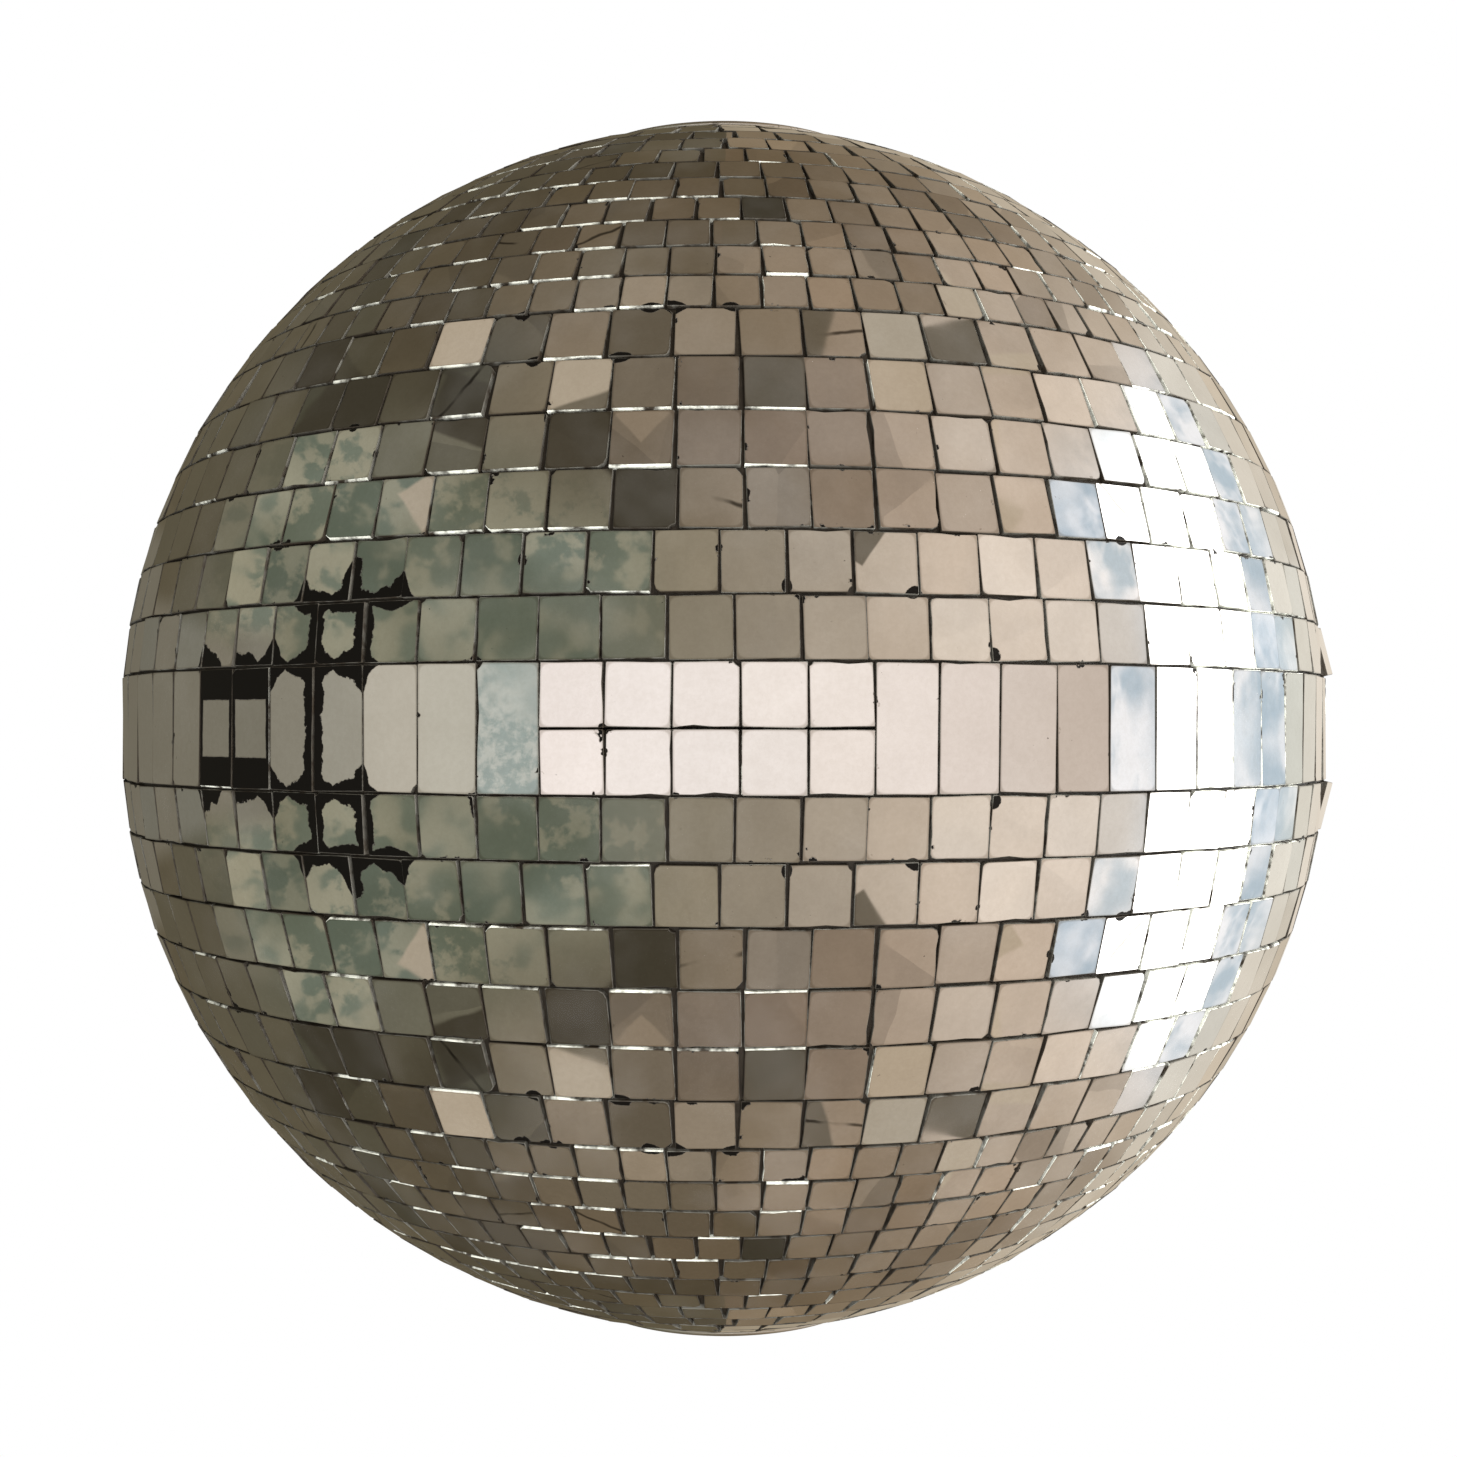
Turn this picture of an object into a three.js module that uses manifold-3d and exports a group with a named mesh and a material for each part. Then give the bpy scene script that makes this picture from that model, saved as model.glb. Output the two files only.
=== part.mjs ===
// A 50 cm mirror ball on a swivel hanger.
//
// Glass mirror tiles lie in level rows on a hollow core of two half shells. A tie rod clamps the
// shells between two hubs, and a thrust bearing under the top cap carries the ball, so that it spins
// on a stem whose eye holds a loose hanging ring. Millimetres, +Z up, origin at the centre of the eye.

import * as THREE from "three";
import { mergeVertices } from "three/addons/utils/BufferGeometryUtils.js";
import Module from "manifold-3d";

const wasm = await Module();
wasm.setup();

// ---- Driving dimensions -------------------------------------------------------------------------

const BALL_RADIUS = 250; // over the corners of the tiles
const FACETS = 30; // flats round each row and round the core
const CLEARANCE = 0.3; // left between pieces that touch

// Tile rows: a double-height belt on the equator, then large rows, then small rows up to the caps.
const LARGE_PITCH = 4.6; // degrees of latitude for each large row, 20 mm
const LARGE_ROWS = 6;
const SMALL_PITCH = 3.45; // degrees of latitude for each small row, 15 mm
const SMALL_ROWS = 13;
const JOINED_SMALL_ROWS = 2; // rows next to the cap that share one strip
const ROW_GAP = 0.8; // dark joint between two rows
const TILE_STRIP = 2.6; // 2 mm glass and the adhesive under it

// Core
const CORE_RADIUS = 246;
const CORE_WALL = 3;
const CORE_BANDS = 7; // flats from the equator to the polar opening
const POLAR_OPENING = 24;
const BAND_OUTER = 240.8;
const BAND_WALL = 2.5;
const BAND_HEIGHT = 30;

// Hubs inside the poles
const HUB_RADIUS = 70;
const HUB_SHOULDER = 45;
const HUB_CROWN = 241.2; // radius of the sphere that the hub's crown follows
const HUB_BASE = 214; // height of the hub's flat face

// Caps: shallow spun dishes over the first row of tiles
const CAP_RADIUS = 64;
const CAP_FLAT_RADIUS = 36;
const CAP_TOP = 249.6; // height of the flat above the ball's centre
const CAP_DROP = 5.2; // fall from the flat to the rim
const CAP_SHEET = 2;

// Stem and ring
const EYE_HEIGHT = 7.6; // centre of the eye above the cap
const EYE_RADIUS = 6.6;
const EYE_THICKNESS = 6;
const EYE_HOLE = 3.4;
const SHANK_RADIUS = 5;
const SHANK_END = 222;
const COLLAR_RADIUS = 8.5;
const COLLAR_THICKNESS = 2.2;
const RING_RADIUS = 17.2; // to the middle of the wire
const RING_WIRE = 2.2; // radius of the wire
const WIRE_SIDES = 10;
const RING_LIFT = 0.4; // under the wire, where the ring lies on the cap

// Thrust bearing
const RACE_RADIUS = 12;
const RACE_THICKNESS = 2.4;
const BEARING_BALLS = 9;
const BEARING_BALL_RADIUS = 2.4;
const BEARING_PITCH_RADIUS = 9;
const CAGE_INNER = 6.6;
const CAGE_OUTER = 11.4;
const CAGE_THICKNESS = 1.6;

// Bearing housing
const HOUSING_BORE = 12.6;
const HOUSING_RADIUS = 16;
const HOUSING_FLANGE = 34;
const HOUSING_FLANGE_THICKNESS = 2.1;
const HOUSING_FLOOR = 218;
const HOUSING_WEB = 10;

// Fasteners
const ROD_RADIUS = 5;
const NUT_CORNER = 9.4;
const NUT_HEIGHT = 8.2;
const CASTLE_NUT_HEIGHT = 9.4;
const WASHER_RADIUS = 12;
const WASHER_THICKNESS = 2;
const COTTER_RADIUS = 1.2;
const COTTER_LENGTH = 23.6;
const COTTER_SLOT_DEPTH = 4.6;
const SCREWS = 4;
const SCREW_CIRCLE = 29;
const SCREW_RADIUS = 2;
const SCREW_HEAD = 3.9;
const SCREW_END = 226;

// Recess in the bottom cap that hides the nut
const CUP_RADIUS = 17;
const CUP_FLOOR = 236.6;

// ---- Derived places, measured from the ball's centre -------------------------------------------

const EYE_CENTRE = CAP_TOP + EYE_HEIGHT;
const CAP_UNDERSIDE = CAP_TOP - CAP_SHEET;
const SHANK_CLEAR = SHANK_RADIUS + 0.6; // bore that turns round the shank
const THREAD_BORE = SHANK_RADIUS + CLEARANCE; // bore that is fixed on a shank or rod
const UPPER_RACE_TOP = CAP_UNDERSIDE - CLEARANCE;
const BEARING_BALL_CENTRE = UPPER_RACE_TOP - RACE_THICKNESS - CLEARANCE - BEARING_BALL_RADIUS;
const LOWER_RACE_TOP = BEARING_BALL_CENTRE - BEARING_BALL_RADIUS - CLEARANCE;
const CASTLE_NUT_TOP = LOWER_RACE_TOP - RACE_THICKNESS - CLEARANCE;
const COTTER_HEIGHT = CASTLE_NUT_TOP - CASTLE_NUT_HEIGHT + COTTER_SLOT_DEPTH / 2;
const HOUSING_BOTTOM = HOUSING_FLOOR - HOUSING_WEB;
const ROD_TOP = HOUSING_FLOOR - CLEARANCE;
const BOTTOM_WASHER_TOP = CUP_FLOOR + CLEARANCE + WASHER_THICKNESS;
const BOTTOM_NUT_END = BOTTOM_WASHER_TOP + CLEARANCE + NUT_HEIGHT;
const RING_SLOPE = Math.asin((EYE_HEIGHT - RING_WIRE - RING_LIFT) / (2 * RING_RADIUS));

// ---- Materials ----------------------------------------------------------------------------------

const material = (color, roughness, metalness) =>
  new THREE.MeshStandardMaterial({ color, roughness, metalness, flatShading: true });

const MIRROR = material(0xb9b4a6, 0.08, 1);
const CORE = material(0x2b2a27, 0.85, 0);
const WOOD = material(0xa9825a, 0.7, 0);
const CAP_METAL = material(0x8f8a7f, 0.4, 1);
const STEEL = material(0x9a9a98, 0.35, 1);
const ZINC = material(0xb4b1a4, 0.3, 1);

// ---- Shape helpers ------------------------------------------------------------------------------

const onCircle = (radius, degrees) => {
  const angle = THREE.MathUtils.degToRad(degrees);
  return [radius * Math.cos(angle), radius * Math.sin(angle)];
};

// A closed outline of [radius, height] points, counter-clockwise, turned about +Z.
function turned(outline, segments = FACETS) {
  const points = [...outline, outline[0]].map(([r, z]) => new THREE.Vector2(r, z));
  return new THREE.LatheGeometry(points, segments).rotateX(Math.PI / 2);
}

// A tube or disc between two heights.
const ringOf = (inner, outer, low, high, segments = 24) =>
  turned([[inner, low], [outer, low], [outer, high], [inner, high]], segments);

// A solid bar about +Z between two heights.
const bar = (radius, low, high, segments = 16) =>
  new THREE.CylinderGeometry(radius, radius, high - low, segments)
    .rotateX(Math.PI / 2)
    .translate(0, 0, (low + high) / 2);

const flipped = (geometry) => geometry.rotateX(Math.PI);

function solid(geometry) {
  const bare = geometry.clone();
  bare.deleteAttribute("normal");
  bare.deleteAttribute("uv");
  const merged = mergeVertices(bare, 1e-3);
  return new wasm.Manifold(
    new wasm.Mesh({
      numProp: 3,
      vertProperties: merged.attributes.position.array,
      triVerts: new Uint32Array(merged.index.array),
    }),
  );
}

function geometryOf(manifold) {
  const mesh = manifold.getMesh();
  return new THREE.BufferGeometry()
    .setAttribute("position", new THREE.BufferAttribute(mesh.vertProperties, 3))
    .setIndex(new THREE.BufferAttribute(mesh.triVerts, 1));
}

const joined = (...pieces) => geometryOf(pieces.map(solid).reduce((a, b) => a.add(b)));
const cut = (body, ...tools) => geometryOf(tools.map(solid).reduce((a, b) => a.subtract(b), solid(body)));

// ---- Scene graph --------------------------------------------------------------------------------

const root = new THREE.Group();
const ball = new THREE.Group();
ball.position.z = -EYE_CENTRE; // everything in it is measured from the ball's centre
root.add(ball);

function place(parent, name, geometry, paint) {
  const mesh = new THREE.Mesh(geometry, paint);
  mesh.name = name;
  parent.add(mesh);
  return mesh;
}

// ---- Tile rows ----------------------------------------------------------------------------------

// One row of tiles, or several on one strip, between the given latitudes.
function tileRow(latitudes) {
  const halfGap = THREE.MathUtils.radToDeg(ROW_GAP / 2 / BALL_RADIUS);
  const edges = [...latitudes];
  edges[0] += halfGap;
  edges[edges.length - 1] -= halfGap;
  const outside = edges.map((latitude) => onCircle(BALL_RADIUS, latitude));
  const inside = edges.map((latitude) => onCircle(BALL_RADIUS - TILE_STRIP, latitude));
  return turned([...outside, ...inside.reverse()]);
}

const rowName = (side, size, number) => `${side}_${size}_tile_row_${String(number).padStart(2, "0")}`;

function addTileRows(side) {
  const half = new THREE.Group();
  if (side === "lower") half.rotation.x = Math.PI;
  ball.add(half);
  let latitude = LARGE_PITCH;
  for (let row = 1; row <= LARGE_ROWS; row += 1) {
    place(half, rowName(side, "large", row), tileRow([latitude, latitude + LARGE_PITCH]), MIRROR);
    latitude += LARGE_PITCH;
  }
  for (let row = 1; row <= SMALL_ROWS - JOINED_SMALL_ROWS; row += 1) {
    place(half, rowName(side, "small", row), tileRow([latitude, latitude + SMALL_PITCH]), MIRROR);
    latitude += SMALL_PITCH;
  }
  const joints = Array.from({ length: JOINED_SMALL_ROWS + 1 }, (_, i) => latitude + i * SMALL_PITCH);
  place(half, `${side}_polar_tile_rows`, tileRow(joints), MIRROR);
}

place(ball, "equator_belt_tiles", tileRow([-LARGE_PITCH, LARGE_PITCH]), MIRROR);
addTileRows("upper");
addTileRows("lower");

// ---- Core ---------------------------------------------------------------------------------------

const screwPlaces = Array.from({ length: SCREWS }, (_, i) =>
  onCircle(SCREW_CIRCLE, 45 + (i * 360) / SCREWS),
);
const screwHoles = (radius, low, high) =>
  screwPlaces.map(([x, y]) => bar(radius, low, high, 12).translate(x, y, 0));

// Half of the core, from just above the equator to the polar opening.
function halfShell() {
  const polar = THREE.MathUtils.radToDeg(Math.acos(POLAR_OPENING / CORE_RADIUS));
  const latitudes = Array.from({ length: CORE_BANDS + 1 }, (_, i) => (polar * i) / CORE_BANDS);
  latitudes[0] = THREE.MathUtils.radToDeg(CLEARANCE / 2 / CORE_RADIUS);
  const outside = latitudes.map((latitude) => onCircle(CORE_RADIUS, latitude));
  const inside = latitudes.map((latitude) => onCircle(CORE_RADIUS - CORE_WALL, latitude));
  return turned([...outside, ...inside.reverse()]);
}

const SCREW_CLEAR = SCREW_RADIUS + CLEARANCE;
place(ball, "core_upper_shell", cut(halfShell(), ...screwHoles(SCREW_CLEAR, 235, 250)), CORE);
place(ball, "core_lower_shell", flipped(halfShell()), CORE);
place(
  ball,
  "core_joint_band",
  ringOf(BAND_OUTER - BAND_WALL, BAND_OUTER, -BAND_HEIGHT / 2, BAND_HEIGHT / 2, FACETS),
  CORE,
);

// ---- Hubs and tie rod ---------------------------------------------------------------------------

function hub(bore) {
  const crown = (radius) => Math.sqrt(HUB_CROWN ** 2 - radius ** 2);
  return turned([
    [bore, HUB_BASE],
    [HUB_RADIUS, HUB_BASE],
    [HUB_RADIUS, crown(HUB_RADIUS)],
    [HUB_SHOULDER, crown(HUB_SHOULDER)],
    [bore, crown(bore)],
  ]);
}

const topHub = cut(hub(HOUSING_RADIUS + CLEARANCE), ...screwHoles(SCREW_CLEAR, SCREW_END - 2, 250));
place(ball, "top_hub", topHub, WOOD);
place(ball, "bottom_hub", flipped(hub(CUP_RADIUS + CAP_SHEET + CLEARANCE)), WOOD);
place(ball, "tie_rod", bar(ROD_RADIUS, -BOTTOM_NUT_END, ROD_TOP), STEEL);

// ---- Caps ---------------------------------------------------------------------------------------

function topCap() {
  const dish = turned([
    [SHANK_CLEAR, CAP_UNDERSIDE],
    [CAP_FLAT_RADIUS, CAP_UNDERSIDE],
    [CAP_RADIUS, CAP_UNDERSIDE - CAP_DROP],
    [CAP_RADIUS, CAP_TOP - CAP_DROP],
    [CAP_FLAT_RADIUS, CAP_TOP],
    [SHANK_CLEAR, CAP_TOP],
  ]);
  const countersinks = screwPlaces.map(([x, y]) =>
    new THREE.CylinderGeometry(SCREW_HEAD + 0.8, SCREW_CLEAR, CAP_SHEET + 0.4, 12)
      .rotateX(Math.PI / 2)
      .translate(x, y, (CAP_TOP + CAP_UNDERSIDE) / 2),
  );
  return cut(dish, ...countersinks, ...screwHoles(SCREW_CLEAR, CAP_UNDERSIDE - 1, CAP_TOP));
}

function bottomCap() {
  return flipped(
    turned([
      [THREAD_BORE, CUP_FLOOR - CAP_SHEET],
      [CUP_RADIUS + CAP_SHEET, CUP_FLOOR - CAP_SHEET],
      [CUP_RADIUS + CAP_SHEET, CAP_UNDERSIDE],
      [CAP_FLAT_RADIUS, CAP_UNDERSIDE],
      [CAP_RADIUS, CAP_UNDERSIDE - CAP_DROP],
      [CAP_RADIUS, CAP_TOP - CAP_DROP],
      [CAP_FLAT_RADIUS, CAP_TOP],
      [CUP_RADIUS, CAP_TOP],
      [CUP_RADIUS, CUP_FLOOR],
      [THREAD_BORE, CUP_FLOOR],
    ]),
  );
}

place(ball, "top_cap", topCap(), CAP_METAL);
place(ball, "bottom_cap", bottomCap(), CAP_METAL);

// ---- Bearing housing, upper race and screws -----------------------------------------------------

function bearingHousing() {
  const flangeTop = CAP_UNDERSIDE - CLEARANCE;
  const flangeLow = flangeTop - HOUSING_FLANGE_THICKNESS;
  const cup = turned([
    [THREAD_BORE, HOUSING_BOTTOM],
    [HOUSING_RADIUS, HOUSING_BOTTOM],
    [HOUSING_RADIUS, flangeLow],
    [HOUSING_FLANGE, flangeLow],
    [HOUSING_FLANGE, flangeTop],
    [HOUSING_BORE, flangeTop],
    [HOUSING_BORE, HOUSING_FLOOR],
    [THREAD_BORE, HOUSING_FLOOR],
  ], 24);
  return cut(cup, ...screwHoles(SCREW_CLEAR, flangeLow - 1, flangeTop + 1));
}

place(ball, "bearing_housing", bearingHousing(), STEEL);
place(
  ball,
  "bearing_upper_race",
  ringOf(SHANK_CLEAR, RACE_RADIUS, UPPER_RACE_TOP - RACE_THICKNESS, UPPER_RACE_TOP),
  STEEL,
);

function hexNut(height, segments = 16) {
  const body = new THREE.CylinderGeometry(NUT_CORNER, NUT_CORNER, height, 6).rotateX(Math.PI / 2);
  return cut(body, bar(THREAD_BORE, -height, height, segments));
}

const lockNutPlace = HOUSING_BOTTOM - CLEARANCE - NUT_HEIGHT / 2;
place(ball, "rod_lock_nut", hexNut(NUT_HEIGHT).translate(0, 0, lockNutPlace), ZINC);

function capScrew() {
  const headTop = CAP_TOP - CLEARANCE;
  const headLow = CAP_UNDERSIDE - 0.2;
  const tip = SCREW_RADIUS * 2;
  return turned([
    [0, SCREW_END],
    [SCREW_RADIUS, SCREW_END + tip],
    [SCREW_RADIUS, headLow],
    [SCREW_HEAD, headTop],
    [0, headTop],
  ], 12);
}

screwPlaces.forEach(([x, y], i) => {
  place(ball, `top_cap_screw_${i + 1}`, capScrew().translate(x, y, 0), ZINC);
});

// ---- Nut and washer in the bottom cap's recess --------------------------------------------------

place(
  ball,
  "bottom_washer",
  flipped(ringOf(THREAD_BORE, WASHER_RADIUS, BOTTOM_WASHER_TOP - WASHER_THICKNESS, BOTTOM_WASHER_TOP)),
  ZINC,
);
const bottomNutPlace = -(BOTTOM_NUT_END - NUT_HEIGHT / 2);
place(ball, "bottom_nut", hexNut(NUT_HEIGHT).translate(0, 0, bottomNutPlace), ZINC);

// ---- Swivel stem and what is fixed on it --------------------------------------------------------

function alongX(radius, length, segments) {
  return new THREE.CylinderGeometry(radius, radius, length, segments).rotateZ(Math.PI / 2);
}

function swivelStem() {
  const collarLow = CAP_TOP + 0.4;
  const stem = joined(
    alongX(EYE_RADIUS, EYE_THICKNESS, 24).translate(0, 0, EYE_CENTRE),
    bar(COLLAR_RADIUS, collarLow, collarLow + COLLAR_THICKNESS, 24),
    bar(SHANK_RADIUS, SHANK_END, collarLow + COLLAR_THICKNESS / 2),
  );
  return cut(
    stem,
    alongX(EYE_HOLE, EYE_THICKNESS * 2, 16).translate(0, 0, EYE_CENTRE),
    alongX(COTTER_RADIUS + CLEARANCE, SHANK_RADIUS * 3, 12).translate(0, 0, COTTER_HEIGHT),
  );
}

function castleNut() {
  const slotTool = new THREE.BoxGeometry(NUT_CORNER * 3, (COTTER_RADIUS + 0.4) * 2, COTTER_SLOT_DEPTH);
  const slots = [0, 60, 120].map((degrees) =>
    slotTool
      .clone()
      .rotateZ(THREE.MathUtils.degToRad(degrees))
      .translate(0, 0, (COTTER_SLOT_DEPTH - CASTLE_NUT_HEIGHT) / 2 - 0.01),
  );
  return cut(hexNut(CASTLE_NUT_HEIGHT), ...slots);
}

place(ball, "swivel_stem", swivelStem(), ZINC);
place(
  ball,
  "bearing_lower_race",
  ringOf(THREAD_BORE, RACE_RADIUS, LOWER_RACE_TOP - RACE_THICKNESS, LOWER_RACE_TOP),
  STEEL,
);
const castleNutPlace = CASTLE_NUT_TOP - CASTLE_NUT_HEIGHT / 2;
place(ball, "stem_castle_nut", castleNut().translate(0, 0, castleNutPlace), ZINC);
place(
  ball,
  "cotter_pin",
  alongX(COTTER_RADIUS, COTTER_LENGTH, 10).translate(0, 0, COTTER_HEIGHT),
  ZINC,
);

// ---- Ball cage of the thrust bearing ------------------------------------------------------------

function bearingCage() {
  const balls = Array.from({ length: BEARING_BALLS }, (_, i) => {
    const [x, y] = onCircle(BEARING_PITCH_RADIUS, (i * 360) / BEARING_BALLS);
    return new THREE.SphereGeometry(BEARING_BALL_RADIUS, 8, 6).translate(x, y, 0);
  });
  const plate = ringOf(CAGE_INNER, CAGE_OUTER, -CAGE_THICKNESS / 2, CAGE_THICKNESS / 2);
  return joined(plate, ...balls);
}

place(ball, "bearing_ball_cage", bearingCage().translate(0, 0, BEARING_BALL_CENTRE), STEEL);

// ---- Hanging ring, lying on the cap -------------------------------------------------------------

const ring = new THREE.Group();
ring.rotation.x = -RING_SLOPE;
root.add(ring);
const wire = Array.from({ length: WIRE_SIDES }, (_, i) => onCircle(RING_WIRE, (i * 360) / WIRE_SIDES));
const wireSection = wire.map(([r, z]) => [RING_RADIUS + r, z]);
place(ring, "hanging_ring", turned(wireSection).translate(0, RING_RADIUS, 0), ZINC);

export default root;
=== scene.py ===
# Looks of a 50 cm mirror ball: every glass tile, the dark adhesive, the caps and the hanging hardware.
# Metres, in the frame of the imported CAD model: +Z up, origin at the eye that the ball hangs from.
import math
import random

import bmesh
import bpy
from mathutils import Matrix, Vector


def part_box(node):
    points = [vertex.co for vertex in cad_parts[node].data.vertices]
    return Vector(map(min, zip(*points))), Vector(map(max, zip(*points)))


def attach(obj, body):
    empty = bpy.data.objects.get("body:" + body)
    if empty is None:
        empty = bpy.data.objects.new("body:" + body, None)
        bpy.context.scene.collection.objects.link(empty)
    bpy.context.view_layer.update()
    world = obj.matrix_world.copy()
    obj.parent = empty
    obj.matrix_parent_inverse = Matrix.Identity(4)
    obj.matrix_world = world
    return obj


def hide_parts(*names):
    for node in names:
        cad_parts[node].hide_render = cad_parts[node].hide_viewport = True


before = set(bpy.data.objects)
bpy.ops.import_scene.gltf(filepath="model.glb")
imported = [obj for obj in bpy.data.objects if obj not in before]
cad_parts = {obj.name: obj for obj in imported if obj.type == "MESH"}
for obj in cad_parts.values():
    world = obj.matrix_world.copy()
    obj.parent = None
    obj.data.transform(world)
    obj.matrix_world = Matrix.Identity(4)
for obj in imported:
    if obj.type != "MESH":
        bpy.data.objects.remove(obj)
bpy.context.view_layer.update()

MM = 0.001

# ---- Driving dimensions ----

BALL_RADIUS = 250 * MM  # over the corners of the tiles
LARGE_PITCH = 4.6  # degrees of latitude for each large row
SMALL_PITCH = 3.45
LARGE_ROWS = 6
SMALL_ROWS = 13
LARGE_TILE = 19.0 * MM
SMALL_TILE = 14.0 * MM
TILE_GAP = 0.85 * MM  # between two rows
SIDE_GAP = 0.6 * MM  # least gap between two tiles of a row
GLASS = 2.0 * MM
GROUND_EDGE = 0.16 * MM  # width of the arris round a tile's face
CLEAN_CHAMFER = 0.7 * MM  # width of the bevel that shows white on some lower edges
UV_SPAN = 50 * MM  # length on a tile's face that fills the whole UV range
ADHESIVE_RADIUS = BALL_RADIUS - 1.9 * MM
PAIRED_COLUMNS = 5  # columns of the belt at the front that are two square tiles
FIRST_PAIR_EDGE = -12.75  # longitude where they start

CAMERA_DISTANCE = 3 * BALL_RADIUS
BALL_SHARE = 0.829  # of the picture's width
BALL_ASIDE = 0.003  # how far left of the picture's middle the ball stands, of its width

belt_low, belt_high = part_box("equator_belt_tiles")
BALL_CENTRE = Vector((0, 0, (belt_low.z + belt_high.z) / 2))
CAP_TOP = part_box("top_cap")[1].z
CAP_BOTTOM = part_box("bottom_cap")[0].z


def add_object(name, data):
    """Puts a mesh, a camera or a light in the scene."""
    thing = bpy.data.objects.new(name, data)
    bpy.context.scene.collection.objects.link(thing)
    return thing


# ---- Camera ----

def make_camera():
    data = bpy.data.cameras.new("camera")
    half_angle = math.asin(BALL_RADIUS / CAMERA_DISTANCE)
    data.lens = data.sensor_width * BALL_SHARE / 2 / math.tan(half_angle)
    data.shift_x = BALL_ASIDE
    camera = add_object("camera", data)
    camera.location = BALL_CENTRE + Vector((0, -CAMERA_DISTANCE, 0))
    camera.rotation_euler = (math.pi / 2, 0, 0)
    bpy.context.scene.camera = camera


make_camera()


# ---- Shader helpers ----

def srgb(red, green, blue):
    """A screen colour, 0 to 255, as the linear colour that shaders take."""
    def linear(value):
        value /= 255
        return value / 12.92 if value <= 0.04045 else ((value + 0.055) / 1.055) ** 2.4
    return (linear(red), linear(green), linear(blue), 1)


class Nodes:
    """Short calls that make the nodes of one shader and return their output sockets."""

    def __init__(self, tree):
        self.tree = tree
        tree.nodes.clear()

    def make(self, kind, inputs=(), **settings):
        node = self.tree.nodes.new(kind)
        for name, value in settings.items():
            setattr(node, name, value)
        for key, value in dict(inputs).items():
            self.put(node.inputs[key], value)
        return node

    def put(self, socket, value):
        if isinstance(value, bpy.types.NodeSocket):
            self.tree.links.new(value, socket)
        else:
            socket.default_value = value

    def math(self, operation, first, second=0.0):
        return self.make("ShaderNodeMath", {0: first, 1: second}, operation=operation).outputs[0]

    def plus(self, first, second):
        return self.math("ADD", first, second)

    def minus(self, first, second):
        return self.math("SUBTRACT", first, second)

    def times(self, first, second):
        return self.math("MULTIPLY", first, second)

    def vector(self, operation, first, second=(0, 0, 0)):
        node = self.make("ShaderNodeVectorMath", {0: first, 1: second}, operation=operation)
        return node.outputs["Value" if operation in ("LENGTH", "DISTANCE", "DOT_PRODUCT") else "Vector"]

    def ramp(self, value, low, high, start=0.0, end=1.0, rise="SMOOTHSTEP"):
        """start below low, end above high, and a smooth rise between."""
        limits = {"From Min": low, "From Max": high, "To Min": start, "To Max": end}
        node = self.make("ShaderNodeMapRange", {"Value": value, **limits}, interpolation_type=rise)
        return node.outputs["Result"]

    def even_ramp(self, value, low, high, start=0.0, end=1.0):
        """The same with a straight rise."""
        return self.ramp(value, low, high, start, end, "LINEAR")

    def band(self, value, low, high, soft):
        """1 between low and high, 0 elsewhere, with soft limits."""
        rise = self.ramp(value, low - soft, low + soft)
        fall = self.ramp(value, high - soft, high + soft, 1, 0)
        return self.times(rise, fall)

    def mix(self, factor, first, second, blend="MIX"):
        node = self.make("ShaderNodeMix", data_type="RGBA", blend_type=blend)
        for place, value in zip((0, 6, 7), (factor, first, second)):
            self.put(node.inputs[place], value)
        return node.outputs[2]

    def noise(self, where, scale, detail=2.0, roughness=0.5):
        grain = {"Scale": scale, "Detail": detail, "Roughness": roughness}
        return self.make("ShaderNodeTexNoise", {"Vector": where, **grain}).outputs["Fac"]

    def colours(self, value, stops):
        """A colour for each value from 0 to 1, by stops of (value, colour)."""
        node = self.make("ShaderNodeValToRGB", {"Fac": value})
        ramp = node.color_ramp
        while len(ramp.elements) < len(stops):
            ramp.elements.new(0.5)
        for element, (place, colour) in zip(ramp.elements, stops):
            element.position = place
            element.color = colour
        return node.outputs["Color"]

    def attribute(self, name, output="Vector"):
        return self.make("ShaderNodeAttribute", attribute_name=name).outputs[output]

    def split(self, vector):
        return self.make("ShaderNodeSeparateXYZ", {0: vector}).outputs

    def bump(self, height, distance):
        return self.make("ShaderNodeBump", {"Height": height, "Distance": distance}).outputs["Normal"]

    def surface(self, **inputs):
        """Ends the shader with a Principled BSDF. Keys are socket names with _ for a space."""
        sockets = {key.replace("_", " "): value for key, value in inputs.items()}
        shader = self.make("ShaderNodeBsdfPrincipled", sockets)
        self.make("ShaderNodeOutputMaterial", {"Surface": shader.outputs[0]})


def new_material(name):
    """A material, its nodes, and the place on the piece for its patterns, in metres."""
    material = bpy.data.materials.new(name)
    material.use_nodes = True
    nodes = Nodes(material.node_tree)
    return material, nodes, nodes.make("ShaderNodeTexCoord").outputs["Object"]


# ---- Materials ----

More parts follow.
